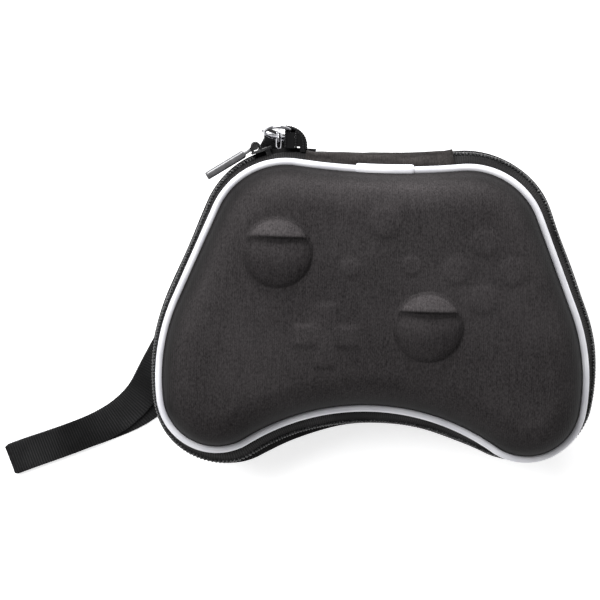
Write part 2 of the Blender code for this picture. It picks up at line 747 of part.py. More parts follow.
def band_face_y(low_x, high_x):
    """Highest outer face of the band at the parting level, on the hinge side between two places."""
    near = [point.y + reach for point, _, reach in OUTLINE if low_x < point.x < high_x and point.y > SHOULDER.y]
    return max(near) - COIL_THICKNESS + PANEL_THICKNESS


def tab_outline(heel):
    """The folded tab in plan: upright at its heel, arched down to its far foot, notched underneath."""
    points = []
    for index in range(8):
        turn = math.pi / 2 * index / 7
        points.append(heel + Vector((TAB_FOOT * math.sin(turn), TAB_HEIGHT * math.cos(turn) ** 0.8)))
    middle = (NOTCH_START + NOTCH_END) / 2
    underside = ((NOTCH_END, 0.0), (middle, NOTCH_HEIGHT), (NOTCH_START, 0.0), (0.0, 0.0))
    points += [heel + Vector((TAB_FOOT * along, rise)) for along, rise in underside]
    return [tuple(point) for point in points]


def add_tab_and_ring(looks):
    """Webbing folded over a ring and sewn on at the panel's end, its plies pressed together past the ring."""
    heel_x = -PANEL_HALF_LENGTH - TAB_FOOT + TAB_THICKNESS
    heel = Vector((heel_x, band_face_y(heel_x - RING_RADIUS, -PANEL_HALF_LENGTH) + FIT_GAP))
    low = MID_Z - TAB_WIDTH / 2
    high = MID_Z + TAB_WIDTH / 2

    def place(u, v, w):
        return Vector((u, v, w))

    tab = add_object("ring_tab", extrude_outline(tab_outline(heel), place, low, high), looks["webbing"])

    lean = Vector((0.0, math.cos(RING_TILT), math.sin(RING_TILT)))
    half_turn = math.asin(min(TAB_WIDTH / 2 / (RING_RADIUS * lean.z), 1.0))
    bow = RING_RADIUS * (1 - math.cos(half_turn))
    slot_start = heel.x + TAB_THICKNESS
    slot_end = slot_start + 2 * (FIT_GAP + RING_WIRE) + bow
    threaded = Vector((slot_start + FIT_GAP + RING_WIRE + bow, heel.y + TAB_HEIGHT * RING_SEAT, MID_Z))
    slot_half = RING_RADIUS * lean.y * math.sin(half_turn) + RING_WIRE + FIT_GAP
    corners = [(slot_start, threaded.y - slot_half), (slot_end, threaded.y - slot_half),
               (slot_end, threaded.y + slot_half), (slot_start, threaded.y + slot_half)]
    slot = extrude_outline(corners, place, low - TAB_WIDTH, high + TAB_WIDTH)
    combine(tab, add_object("ring_slot", slot, looks["webbing"]), "DIFFERENCE")

    centre = threaded - Vector((RING_RADIUS, 0, 0))
    across = Vector((1.0, 0.0, 0.0))
    turns = [2 * math.pi * i / 28 for i in range(28)]
    points = [centre + (across * math.cos(turn) + lean * math.sin(turn)) * RING_RADIUS for turn in turns]
    add_object("strap_ring", tube(points, [RING_WIRE] * len(points), 8, True), looks["chrome"])
    return centre - lean * RING_RADIUS


def add_hook(looks, hung_on):
    """A snap hook that hangs from the ring: claw and barrel, sprung gate, and the eye on its swivel."""
    drop = CLAW_RADIUS - HOOK_WIRE - RING_WIRE - FIT_GAP
    claw_centre = hung_on - Vector((0, 0, drop))
    frame = add_empty("hook_frame", claw_centre)

    def on_claw(degrees, radius=CLAW_RADIUS):
        spot = polar(radius, math.radians(degrees))
        return Vector((0.0, spot.x, spot.y))

    # The nose keeps the claw's outer line and the gate its own inner line, so the gate swings in freely
    claw_start = GATE_FOOT - GATE_CLEARANCE
    shares = [i / 18 for i in range(19)]
    thinning = [max(0.0, share - NOSE_TAPER) / (1 - NOSE_TAPER) for share in shares]
    radii = [HOOK_WIRE - (HOOK_WIRE - NOSE_RADIUS) * thin for thin in thinning]
    claw_points = [on_claw(claw_start + (NOSE_TIP - 360.0 - claw_start) * share, CLAW_RADIUS + HOOK_WIRE - radius)
                   for share, radius in zip(shares, radii)]
    claw = add_object("hook_claw", tube(claw_points, radii, 8), looks["chrome"], frame)
    barrel_top = -CLAW_RADIUS - HOOK_WIRE * 0.5
    barrel_bottom = -CLAW_RADIUS - HOOK_SHANK
    barrel_ends = [Vector((0, 0, barrel_top)), Vector((0, 0, barrel_bottom))]
    barrel = tube(barrel_ends, [BARREL_RADIUS * 0.75, BARREL_RADIUS], 14)
    combine(claw, add_object("hook_barrel", barrel, looks["chrome"], frame), "UNION")
    bore_ends = [Vector((0, 0, barrel_bottom + HOOK_SHANK * 0.6)), Vector((0, 0, barrel_bottom - HOOK_SHANK))]
    bore = tube(bore_ends, [SWIVEL_RADIUS + FIT_GAP] * 2, 12)
    combine(claw, add_object("hook_bore", bore, looks["chrome"], frame), "DIFFERENCE")

    pivot_place = on_claw(GATE_FOOT)
    pivot = add_empty("gate_pivot", pivot_place, parent=frame)
    gate_shares = [i / 5 for i in range(6)]
    gate_radii = [GATE_RADIUS - (GATE_RADIUS - GATE_TIP_RADIUS) * share ** 2 for share in gate_shares]
    gate_points = [on_claw(GATE_FOOT + (GATE_TIP - GATE_FOOT) * share, CLAW_RADIUS - GATE_RADIUS + radius)
                   - pivot_place for share, radius in zip(gate_shares, gate_radii)]
    add_object("hook_gate", tube(gate_points, gate_radii, 8), looks["chrome"], pivot)

    heading = (STRAP_ROUTE[2] - hung_on).to_2d().normalized()
    turn = Matrix.Rotation(math.atan2(heading.x, -heading.y), 4, "Z")
    eye_frame = add_empty("eye_frame", (0, 0, barrel_bottom - FIT_GAP), turn, frame)
    shoulder = EYE_HEIGHT * 0.35
    loop = [Vector((0, 0, -EYE_WIRE)), Vector((EYE_HALF_WIDTH * 0.5, 0, -EYE_WIRE)),
            Vector((EYE_HALF_WIDTH * 0.92, 0, -EYE_WIRE - shoulder * 0.6)),
            Vector((EYE_HALF_WIDTH, 0, -EYE_WIRE - shoulder)),
            Vector((EYE_HALF_WIDTH, 0, -EYE_HEIGHT - EYE_WIRE * 0.4)),
            Vector((EYE_HALF_WIDTH - EYE_WIRE, 0, -EYE_HEIGHT - EYE_WIRE))]
    loop += [Vector((-spot.x, 0, spot.z)) for spot in reversed(loop[1:])]
    eye = add_object("hook_eye", tube(loop, [EYE_WIRE] * len(loop), 8, True), looks["chrome"], eye_frame)
    pin_ends = [Vector((0, 0, -EYE_WIRE)), Vector((0, 0, HOOK_SHANK * 0.5))]
    pin = tube(pin_ends, [SWIVEL_RADIUS] * 2, 12)
    combine(eye, add_object("eye_pin", pin, looks["chrome"], eye_frame), "UNION")
    return claw_centre + Vector((0, 0, barrel_bottom - FIT_GAP - EYE_HEIGHT - EYE_WIRE))


# Wrist strap: a doubled length of webbing on one route

def curve_through(points, steps):
    """Points along a smooth curve through the given ones."""
    result = []
    last = len(points) - 1
    for i in range(last):
        p0, p1, p2, p3 = points[max(i - 1, 0)], points[i], points[i + 1], points[min(i + 2, last)]
        for step in range(steps):
            t = step / steps
            result.append(0.5 * ((2 * p1) + (p2 - p0) * t + (2 * p0 - 5 * p1 + 4 * p2 - p3) * t ** 2
                                 + (3 * p1 - p0 - 3 * p2 + p3) * t ** 3))
    result.append(points[last])
    return result


def strap_stations(bar):
    """(centre, side, up, distance) along the route of the doubled strap, from the eye's bar."""
    points = curve_through([bar] + STRAP_ROUTE, 3)
    for point in points:
        point.z = max(point.z, STRAP_THICKNESS + STRAP_PLY_GAP / 2)
    stations = []
    travelled = 0.0
    for i, point in enumerate(points):
        before = points[max(i - 1, 0)]
        after = points[min(i + 1, len(points) - 1)]
        tangent = (after - before).normalized()
        wide = points[min(max(i + 3, 9), len(points) - 1)] - points[max(i - 3, 0)]
        side = Vector((-wide.y, wide.x, 0.0)).normalized()
        up = tangent.cross(side).normalized()
        if i:
            travelled += (point - before).length
        stations.append((point, side, up, travelled))
    return stations


def strap_width(distance):
    share = min(distance / STRAP_NECK, 1.0)
    return STRAP_NECK_WIDTH + (STRAP_WIDTH - STRAP_NECK_WIDTH) * share


def add_strap(looks, bar):
    """Both plies, the fold at the far end and the turn round the hook's eye, as one closed band."""
    stations = strap_stations(bar)
    half_gap = (STRAP_THICKNESS + STRAP_PLY_GAP) / 2
    bar_turn = EYE_WIRE + FIT_GAP + STRAP_THICKNESS / 2
    band = []

    def ply(station, sign, fan):
        centre, side, up, distance = station
        near = max(0.0, 1.0 - distance / STRAP_NECK)
        lift = half_gap + (bar_turn - half_gap) * near ** 2
        sideways = STRAP_FAN * math.exp(-((distance - STRAP_FAN_AT) / STRAP_FAN_SPREAD) ** 2) * fan
        return centre + up * lift * sign + side * sideways, side, up, strap_width(distance)

    def turn_round(station, radius, direction, steps=4):
        centre, side, up, distance = station
        tangent = side.cross(up)
        spots = []
        for index in range(1, steps):
            angle = math.pi * index / steps
            outward = up * math.cos(angle) + tangent * math.sin(angle) * direction
            spots.append((centre + outward * radius, side, outward, strap_width(distance)))
        return spots

    band += [ply(station, 1, 0) for station in stations]
    band += turn_round(stations[-1], half_gap, 1)
    lower = [ply(station, -1, 1) for station in reversed(stations)]
    band += [(centre, side, -up, width) for centre, side, up, width in lower]
    band += [(centre, side, outward, width)
             for centre, side, outward, width in reversed(turn_round(stations[0], bar_turn, -1))]

    bm = bmesh.new()
    rings = []
    for centre, side, outward, width in band:
        corners = ((-1, -1), (1, -1), (1, 1), (-1, 1))
        rings.append([bm.verts.new(centre + side * (width / 2 * u) + outward * (STRAP_THICKNESS / 2 * v))
                      for u, v in corners])
    for index, first in enumerate(rings):
        second = rings[(index + 1) % len(rings)]
        for i in range(4):
            j = (i + 1) % 4
            bm.faces.new((first[i], first[j], second[j], second[i]))
    add_object("wrist_strap", bm, looks["webbing"])


def main():
    clear_scene()
    looks = {
        "shell": material("moulded_fabric", CHARCOAL, 0.75),
        "binding": material("lining_tape", LINING, 0.85),
        "piping": material("white_piping", WHITE, 0.5),
        "tape": material("zip_tape", TAPE_BLACK, 0.85),
        "coil": material("zip_coil", TAPE_BLACK, 0.45),
        "panel": material("panel_fabric", PANEL_BROWN, 0.8),
        "webbing": material("webbing", WEBBING_BLACK, 0.8),
        "chrome": material("chrome", CHROME, 0.12, 1.0),
        "metal": material("gunmetal", GUNMETAL, 0.3, 1.0),
    }
    add_shells(looks)
    add_edges(looks)
    add_band(looks)
    add_slider(looks)
    hung_on = add_tab_and_ring(looks)
    bar = add_hook(looks, hung_on)
    add_strap(looks, bar)


main()
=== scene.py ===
"""Looks of the moulded zip case for a game controller: fabrics, piping, zip, hardware, strap and light.

Metres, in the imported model's frame: +Z out of the lid, +Y to the hinge panel, +X to the right grip.
"""

import math

import bmesh
import bpy
import numpy as np
from mathutils import Matrix, Vector


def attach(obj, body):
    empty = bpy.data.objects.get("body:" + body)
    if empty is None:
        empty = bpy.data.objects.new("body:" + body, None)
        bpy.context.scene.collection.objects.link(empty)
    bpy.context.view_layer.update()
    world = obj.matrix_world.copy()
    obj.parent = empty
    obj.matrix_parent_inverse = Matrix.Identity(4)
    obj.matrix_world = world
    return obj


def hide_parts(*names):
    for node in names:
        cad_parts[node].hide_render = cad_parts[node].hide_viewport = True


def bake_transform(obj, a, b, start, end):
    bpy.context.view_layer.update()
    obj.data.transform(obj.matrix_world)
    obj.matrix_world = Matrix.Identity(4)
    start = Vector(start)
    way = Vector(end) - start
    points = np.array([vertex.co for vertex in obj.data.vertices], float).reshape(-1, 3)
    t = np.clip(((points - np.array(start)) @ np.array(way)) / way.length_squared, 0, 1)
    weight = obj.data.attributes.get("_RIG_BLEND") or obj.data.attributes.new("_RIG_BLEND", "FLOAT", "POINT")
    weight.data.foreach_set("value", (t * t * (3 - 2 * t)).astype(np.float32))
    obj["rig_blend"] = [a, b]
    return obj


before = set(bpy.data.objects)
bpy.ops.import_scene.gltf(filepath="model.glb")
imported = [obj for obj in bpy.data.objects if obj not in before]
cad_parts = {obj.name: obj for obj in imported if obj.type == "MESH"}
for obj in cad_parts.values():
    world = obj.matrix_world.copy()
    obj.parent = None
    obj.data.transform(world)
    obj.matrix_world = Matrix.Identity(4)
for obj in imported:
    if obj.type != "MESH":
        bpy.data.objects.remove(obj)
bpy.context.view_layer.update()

# Outline of the sewn edge, right half
TOP_DIP_Y = 0.0520
SHOULDER = Vector((0.0362, 0.0234))
SHOULDER_RADIUS = 0.0307
SIDE_LEAN = math.radians(22.2)
SIDE_RADIUS = 0.078
LOBE = Vector((0.0622, -0.0394))
LOBE_RADIUS = 0.0227
ARCH_CROWN_Y = -0.0434

# Levels and the shell section
BACK_EDGE_Z = 0.025
FRONT_EDGE_Z = 0.045
MID_Z = (BACK_EDGE_Z + FRONT_EDGE_Z) / 2
WALL = 0.004
WALL_SWEEP = 0.014
WALL_RISE = 0.020
CROWN_RISE = 0.005
RIM_LIP = 0.002
SWEEP_RINGS = 16
FACE_RINGS = 58
PIPING_RADIUS = 0.0015
FIT_GAP = 0.0003
SHELL_INSET = PIPING_RADIUS + FIT_GAP
SEAM_TUCK = 0.0008
HALVES = (("front", 1, FRONT_EDGE_Z, "lid"), ("back", -1, BACK_EDGE_Z, "base"))

# Zip band
HINGE_REACH = 0.0070
CROWN_REACH = 0.0073
REACH_PASSES = 6
RIGHT_REACH = {"shoulder": 0.0063, "side": 0.0058, "lobe": (0.0038, 0.0014), "arch": 0.0056}
LEFT_REACH = {"shoulder": 0.0049, "side": 0.0041, "lobe": (0.0030, 0.0084), "arch": 0.0104}
COIL_THICKNESS = 0.0019
COIL_WIDTH = 0.0026
COIL_WIRE = 0.00038
TEETH_INSET = 0.0004
TEETH_SHIFT = 0.0026
WELT_SHARE = 0.62
TOOTH_PITCH = 0.00125
TAPE_THICKNESS = 0.0007
TAPE_SETBACK = 0.0011
PANEL_HALF_LENGTH = 0.0300
PANEL_THICKNESS = 0.0012
PANEL_FLARE = 0.0016
PANEL_SAG = 0.0005
TAPE_TUCK = 0.0040
SLEEVE_START = -0.0093
SLEEVE_END = 0.0137
SLEEVE_THICKNESS = 0.00055
BINDING_THICKNESS = 0.0008
BINDING_HEIGHT = 0.0034
PANEL_WAVES = ((0.17, 0.09, -1.5, 4.0), (0.09, 0.21, 2.4, 1.1), (0.07, 0.34, -3.1, 0.4),
               (0.03, 0.9, 0.8, 0.0))
BINDING_SECTION = ((0.0, 0.0), (0.0, 0.17), (0.0, 0.5), (0.0, 0.83), (0.0, 1.0), (0.3, 1.06),
                   (0.7, 1.06), (1.0, 1.0), (1.12, 0.83), (1.0, 0.5), (1.12, 0.17), (1.0, 0.0),
                   (0.7, -0.03), (0.3, -0.03))

# Moulded shapes on the lid
THUMB_RADIUS = 0.0140
THUMB_HEIGHT = 0.0050
THUMBS = ((-0.0394, 0.0191), (0.0207, -0.0084))
CHORD_UP = 0.0060
RELIEF_SPACING = 0.0008
LIP_STEP = 0.0006
LIP_SLANT = 0.0010
# Strength of the painted highlight and painted shade on the button marks and the cross.
MARK_PAINTED_LIGHT = 320.0
FACE_BUTTONS = (0.0420, 0.0141)
FACE_BUTTON_SPREAD = 0.0112
SMALL_BUTTONS = ((-0.0104, 0.0139), (0.0135, 0.0155))
CENTRE_BUTTON = (0.0024, 0.0323)
CROSS = (-0.0193, -0.0132)
FACE_BUTTON_SIZE = (0.0058, 0.00036)
SMALL_BUTTON_SIZE = (0.0040, 0.00030)
CENTRE_BUTTON_SIZE = (0.0068, 0.00036)
CROSS_REACH = 0.0125
CROSS_ARM = 0.0040
CROSS_HEIGHT = 0.00034
CROSS_SOFTNESS = 0.0024

# Slider and pull
SLIDER_STANDOFF = 0.0174
SLIDER_FRONT = 0.0062
SLIDER_TAIL = 0.0025
SLIDER_HALF_WIDTH = 0.0047
SLIDER_TAIL_HALF_WIDTH = 0.0038
SLIDER_PLATE = 0.0010
PLATE_BEVEL = 0.00028
CROWN_LEG = 0.0011
PIVOT_RADIUS = 0.0008
PIVOT_LIFT = 0.0005
POST_SEAT = 0.0004
POST_WEDGE = ((0.0010, 0.0), (0.0018, -0.0001), (0.0030, 0.0001), (0.0018, 0.0003))
PULL_LENGTH = 0.0229
PULL_WIDTH = 0.0056
PULL_THICKNESS = 0.0033
HEAD_LENGTH = 0.0050
HEAD_THICKNESS = 0.0014
CHEEK_BEVEL = 0.00018

# Ring tab, ring and hook
TAB_WIDTH = 0.0064
TAB_THICKNESS = 0.0010
TAB_FOOT = 0.0092
TAB_HEIGHT = 0.0092
TAB_LEAVES = 12
TAB_RIB = 0.00009
NOTCH_END = 0.68
NOTCH_HEIGHT = 0.0009
RING_SEAT = 0.68
RING_RADIUS = 0.0056
RING_WIRE = 0.00065
RING_TILT = math.radians(66.0)
HOOK_WIRE = 0.0011
CLAW_RADIUS = 0.0034
HOOK_SHANK = 0.0042
BARREL_RADIUS = 0.0019
SWIVEL_RADIUS = 0.0008
EYE_HALF_WIDTH = 0.0071
EYE_HEIGHT = 0.0034
EYE_WIRE = 0.0007
GATE_RADIUS = 0.0007
GATE_FOOT = -56.0
GATE_TIP_RADIUS = 0.00035
GATE_TIP = 22.0
NOSE_RADIUS = 0.0006
NOSE_TIP = 34.0
NOSE_TAPER = 0.7
GATE_CLEARANCE = 6.0
GATE_PIN_RADIUS = 0.00028
GATE_PIN = (-0.0011, -0.0005, 0.0005, 0.0011)

# Wrist strap
STRAP_WIDTH = 0.0130
STRAP_NECK_WIDTH = 0.0120
STRAP_NECK = 0.0120
STRAP_THICKNESS = 0.0011
STRAP_PLY_GAP = 0.0006
STRAP_FAN = 0.0060
STRAP_FAN_AT = 0.1240
STRAP_FAN_SPREAD = 0.0180
FOLD_STEPS = 4
STRAP_ROLL = 0.24
STRAP_ROLL_FROM = -0.100
STRAP_ROLL_SPAN = 0.046
RIB_PITCH = 0.00105
RIB_DEPTH = 0.00020
STRAP_ROUTE = [Vector(point) for point in (
    (-0.0406, 0.0613, 0.0100), (-0.0420, 0.0580, 0.0050), (-0.0448, 0.0522, 0.0025),
    (-0.0490, 0.0440, 0.0015), (-0.0570, 0.0275, 0.0014), (-0.0660, 0.0095, 0.0014),
    (-0.0750, -0.0085, 0.0014), (-0.0832, -0.0225, 0.0014), (-0.0893, -0.0345, 0.0014),
    (-0.0945, -0.0450, 0.0014), (-0.1018, -0.0530, 0.0014), (-0.1105, -0.0588, 0.0014),
    (-0.1200, -0.0632, 0.0014), (-0.1300, -0.0673, 0.0014), (-0.1400, -0.0712, 0.0014),
    (-0.1473, -0.0742, 0.0014))]

# Camera and studio
CAMERA_PLACE = Vector((-0.02994, 0.08273, 1.24208))
CAMERA_TILT = math.radians(4.0)
CAMERA_ROLL = math.radians(1.87)
CAMERA_LENS = 180.0
CAMERA_SENSOR = 36.0
LIT_SPOT = Vector((0.0, 0.0, 0.05))
LIGHTS = (("overhead light", (-0.95, 0.85, 1.7), (1.3, 1.3), 40.0),
          ("rim light", (-0.12, 1.50, 0.50), (0.6, 0.4), 24.0))
FLOOR_REACH = 4.0
FLOOR_GLOW = 0.55
SKY_STRENGTH = 0.45


# Materials

class Look:
    """A material being built; a node's input is a number, a colour or another node's output."""

    def __init__(self, name):
        self.material = bpy.data.materials.new(name)
        self.material.use_nodes = True
        self.tree = self.material.node_tree

    def feed(self, node, inputs):
        for key, value in inputs.items():
            if isinstance(value, bpy.types.NodeSocket):
                self.tree.links.new(value, node.inputs[key])
            else:
                node.inputs[key].default_value = value

    def node(self, kind, inputs, output=0, **settings):
        result = self.tree.nodes.new(kind)
        for name, value in settings.items():
            setattr(result, name, value)
        self.feed(result, inputs)
        return result.outputs[output]

    def finish(self, inputs):
        self.feed(self.tree.nodes["Principled BSDF"], inputs)
        return self.material

    def spot(self, scale=(1.0, 1.0, 1.0)):
        """Metres in the piece's own space."""
        place = self.node("ShaderNodeTexCoord", {}, "Object")
        return self.node("ShaderNodeMapping", {"Vector": place, "Scale": scale})

    def along(self, scale=(1.0, 1.0, 1.0)):
        """Metres along and across a strip, from its own map."""
        place = self.node("ShaderNodeUVMap", {}, uv_map="run")
        return self.node("ShaderNodeMapping", {"Vector": place, "Scale": scale})

    def noise(self, place, scale, detail=3.0, roughness=0.5):
        values = {"Vector": place, "Scale": scale, "Detail": detail, "Roughness": roughness}
        return self.node("ShaderNodeTexNoise", values)

    def wave(self, place, pitch, direction, distortion):
        """Sine bands of a given pitch in metres; at a scale of 1 the node's bands are 2 pi / 20 apart."""
        scale = 2 * math.pi / (20 * pitch)
        values = {"Vector": place, "Scale": scale, "Distortion": distortion,
                  "Detail": 1.0, "Detail Scale": 2.0}
        return self.node("ShaderNodeTexWave", values, 1, bands_direction=direction)

    def math(self, first, second, operation):
        return self.node("ShaderNodeMath", {0: first, 1: second}, operation=operation)

    def total(self, *terms):
        """Sum of values, each times its weight."""
        parts = [self.math(value, weight, "MULTIPLY") for value, weight in terms]
        result = parts[0]
        for more in parts[1:]:
            result = self.math(result, more, "ADD")
        return result

    def spread(self, factor, low, high, start=0.0, end=1.0):
        """A number from low to high as factor runs from start to end."""
        return self.node("ShaderNodeMapRange", {0: factor, 1: start, 2: end, 3: low, 4: high})

    def ramp(self, factor, low, high, start=0.0, end=1.0):
        """A colour from low to high as factor runs from start to end."""
        share = self.spread(factor, 0.0, 1.0, start, end)
        return self.node("ShaderNodeMix", {0: share, 6: (*low, 1.0), 7: (*high, 1.0)}, 2, data_type="RGBA")

    def bump(self, height, distance, strength):
        return self.node("ShaderNodeBump", {"Height": height, "Distance": distance, "Strength": strength})


def moulded_fabric(name, dark, light):
    """Knit skin pressed over foam: fine upright threads, a soft nap and cloudy tone, with painted highlight
    and painted shade scaled in from a stored per-point value.
    """
    look = Look(name)
    threads = look.wave(look.spot(), 0.00082, "X", 2.2)
    streaks = look.noise(look.spot((1.0, 0.10, 0.25)), 1100.0, 2.0, 0.6)
    speck = look.noise(look.spot((1.0, 0.55, 0.7)), 1700.0, 2.0, 0.6)
    cloud = look.noise(look.spot(), 38.0)
    tone = look.total((threads, 0.06), (speck, 0.68), (streaks, 0.20), (cloud, 0.30))
    # Painted light: a stored per-point value darkens the walls as painted shade and lifts painted highlights
    # on the lid's hinge edge, the dome crescents, the marks and the panel's creases.
    painted_light = look.node("ShaderNodeAttribute", {}, "Fac", attribute_name="painted_light")
    wear_and_painted_light = look.spread(painted_light, 0.2, 1.8, -1.0)
    colour = look.ramp(tone, dark, light, 0.36, 0.86)
    knit = look.total((threads, streaks), (speck, 0.8))
    return look.finish({
        "Base Color": look.node("ShaderNodeVectorMath", {0: colour, "Scale": wear_and_painted_light}, operation="SCALE"),
        "Normal": look.bump(knit, 0.00010, 0.55),
        "Roughness": look.spread(speck, 0.44, 0.64),
        "Specular IOR Level": 0.02})


def woven_strip(name, dark, light, pitch, depth, roughness=0.85, gloss=0.2, sheen=0.12):
    """Woven tape: ribs across its run, clearer in places, and finer yarns along it."""
    look = Look(name)
    ribs = look.wave(look.along(), pitch, "X", 0.3)
    yarns = look.wave(look.along(), pitch / 2, "Y", 0.6)
    fuzz = look.noise(look.along(), 2400.0, 3.0, 0.6)
    cloud = look.noise(look.spot(), 55.0, 2.0)
    clear = look.spread(cloud, 0.25, 1.0, 0.38, 0.62)
    tone = look.total((look.math(ribs, clear, "MULTIPLY"), 0.45), (fuzz, 0.40), (cloud, 0.4))
    return look.finish({
        "Base Color": look.ramp(tone, dark, light, 0.3, 0.85),
        "Normal": look.bump(look.total((ribs, yarns), (fuzz, 0.35)), depth, 0.7),
        "Roughness": roughness, "Specular IOR Level": gloss, "Sheen Weight": sheen, "Sheen Roughness": 0.5})


def piping_skin(name):
    """White coated fabric drawn over a cord: satin, with faint grain and fine streaks along the run."""
    look = Look(name)
    streaks = look.noise(look.along((0.03, 1.0, 1.0)), 900.0, 3.0, 0.6)
    grain = look.noise(look.spot(), 2600.0, 2.0)
    cloud = look.noise(look.spot(), 90.0, 2.0)
    tone = look.total((streaks, 0.5), (cloud, 0.5))
    return look.finish({
        "Base Color": look.ramp(tone, (0.60, 0.60, 0.645), (0.80, 0.80, 0.83), 0.38, 0.62),
        "Normal": look.bump(look.total((streaks, 1.0), (grain, 0.4)), 0.00006, 0.5),
        "Roughness": look.spread(grain, 0.34, 0.5),
        "Specular IOR Level": 0.45})


def moulded_coil(name):
    """Nylon monofilament, satin and slightly uneven."""
    look = Look(name)
    grain = look.noise(look.spot(), 900.0, 2.0)
    return look.finish({
        "Base Color": look.ramp(grain, (0.010, 0.010, 0.011), (0.030, 0.031, 0.032), 0.35, 0.7),
        "Normal": look.bump(grain, 0.00003, 0.4),
        "Roughness": look.spread(grain, 0.28, 0.45)})


def plated_metal(name, colour, smooth, rough, scratch):
    """Plating with fine wear: roughness and tone vary, with hairlines along the piece."""
    look = Look(name)
    patches = look.noise(look.spot(), 260.0)
    hair = look.noise(look.spot((1.0, 1.0, 0.06)), 2600.0, 2.0)
    mixed = look.total((patches, 0.5), (hair, 0.5))
    dim = [value * 0.72 for value in colour]
    return look.finish({
        "Base Color": look.ramp(mixed, dim, colour, 0.32, 0.62),
        "Normal": look.bump(hair, scratch, 0.35),
        "Roughness": look.spread(mixed, smooth, rough, 0.3, 0.7),
        "Metallic": 1.0})


def black_enamel(name):
    """Black coating over cast zinc: glossy, with an orange-peel surface and worn, paler high spots."""
    look = Look(name)
    peel = look.noise(look.spot(), 700.0, 2.0)
    wear_and_painted_light = look.noise(look.spot(), 240.0, 4.0, 0.6)
    return look.finish({
        "Base Color": look.ramp(wear_and_painted_light, (0.006, 0.006, 0.0065), (0.030, 0.030, 0.031), 0.45, 0.75),
        "Normal": look.bump(peel, 0.00003, 0.4),
        "Roughness": look.spread(wear_and_painted_light, 0.16, 0.42)})


LOOKS = {
    "front_shell": moulded_fabric("moulded fabric", (0.0090, 0.0080, 0.0084), (0.047, 0.043, 0.044)),
    "back_shell": moulded_fabric("moulded fabric, back", (0.0085, 0.0075, 0.0079), (0.044, 0.040, 0.041)),
    "panel": moulded_fabric("hinge panel fabric", (0.0088, 0.0079, 0.0077), (0.041, 0.037, 0.036)),
    "lining": woven_strip("lining tape", (0.006, 0.006, 0.0066), (0.024, 0.024, 0.025), 0.0007, 0.00008),
    "tape": woven_strip("zip tape", (0.0040, 0.0038, 0.0040), (0.024, 0.023, 0.0235), 0.00085, 0.00010,
                        gloss=0.12, sheen=0.02),
    "webbing": woven_strip("webbing", (0.0012, 0.0012, 0.0014), (0.019, 0.019, 0.0198), RIB_PITCH, 0.00022,
                           roughness=0.42, gloss=0.12, sheen=0.0),
    "piping": piping_skin("white piping"),
    "sleeve": piping_skin("white piping sleeve"),
    "coil": moulded_coil("zip coil"),
    "enamel": black_enamel("black enamel"),
    "chrome": plated_metal("chrome", (0.42, 0.42, 0.44), 0.05, 0.14, 0.00001),
    "metal": plated_metal("plated zinc", (0.20, 0.20, 0.205), 0.24, 0.40, 0.00003),
}


# Mesh helpers

def finish_piece(item, look, body, replaces=(), smooth_angle=40.0):
    item.data.materials.append(LOOKS[look])
    item.data.shade_smooth()
    item.data.set_sharp_from_angle(angle=math.radians(smooth_angle))
    if body:
        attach(item, body)
    if replaces:
        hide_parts(*replaces)


def object_from(name, bm, mesh):
    """Turn the faces outward and link the mesh as an object."""
    bmesh.ops.recalc_face_normals(bm, faces=bm.faces)
    bm.to_mesh(mesh)
    bm.free()
    item = bpy.data.objects.new(name, mesh)
    bpy.context.collection.objects.link(item)
    return item


def mesh_object(name, vertices, faces, corner_map=None):
    """An object from points and faces; corner_map holds (along, across) metres for each face corner."""
    mesh = bpy.data.meshes.new(name)
    mesh.from_pydata([tuple(v) for v in vertices], [], [tuple(f) for f in faces])
    if corner_map is not None:
        layer = mesh.uv_layers.new(name="run")
        layer.data.foreach_set("uv", np.asarray(corner_map, dtype=np.float32).ravel())
    bm = bmesh.new()
    bm.from_mesh(mesh)
    return object_from(name, bm, mesh)


def skin_over(name, rings, bevel=0.0):
    """A skin over closed rings of points, capped at both ends, its edges softened by the bevel."""
    bm = bmesh.new()
    rings = [[bm.verts.new(point) for point in ring] for ring in rings]
    for first, second in zip(rings, rings[1:]):
        for i in range(len(first)):
            j = (i + 1) % len(first)
            bm.faces.new((first[i], first[j], second[j], second[i]))
    bm.faces.new(rings[0])
    bm.faces.new(rings[-1])
    if bevel:
        bmesh.ops.bevel(bm, geom=bm.edges[:], offset=bevel, segments=2, affect="EDGES", clamp_overlap=True)
    return object_from(name, bm, bpy.data.meshes.new(name))


def extruded(name, points, place, low, high, bevel=0.0):
    """A plane outline drawn out from low to high; place maps (u, v, distance) to a point."""
    return skin_over(name, [[place(u, v, level) for u, v in points] for level in (low, high)], bevel)


def turned(name, profile, sides=40):
    """A solid of revolution about Z; profile holds (radius, height) from end to end."""
    turns = [2 * math.pi * i / sides for i in range(sides)]
    return skin_over(name, [[(radius * math.cos(t), radius * math.sin(t), height) for t in turns]
                            for radius, height in profile])


def placed(item, matrix):
    item.data.transform(matrix)
    return item


def write_painted_light(item, values):
    """Keep the painted light at each point, from -1 for deep painted shade to 1 for a painted highlight."""
    layer = item.data.attributes.new("painted_light", "FLOAT", "POINT")
    layer.data.foreach_set("value", values.astype(np.float32).ravel())


def places_of(item):
    places = np.empty(len(item.data.vertices) * 3)
    item.data.vertices.foreach_get("co", places)
    return places.reshape(-1, 3)


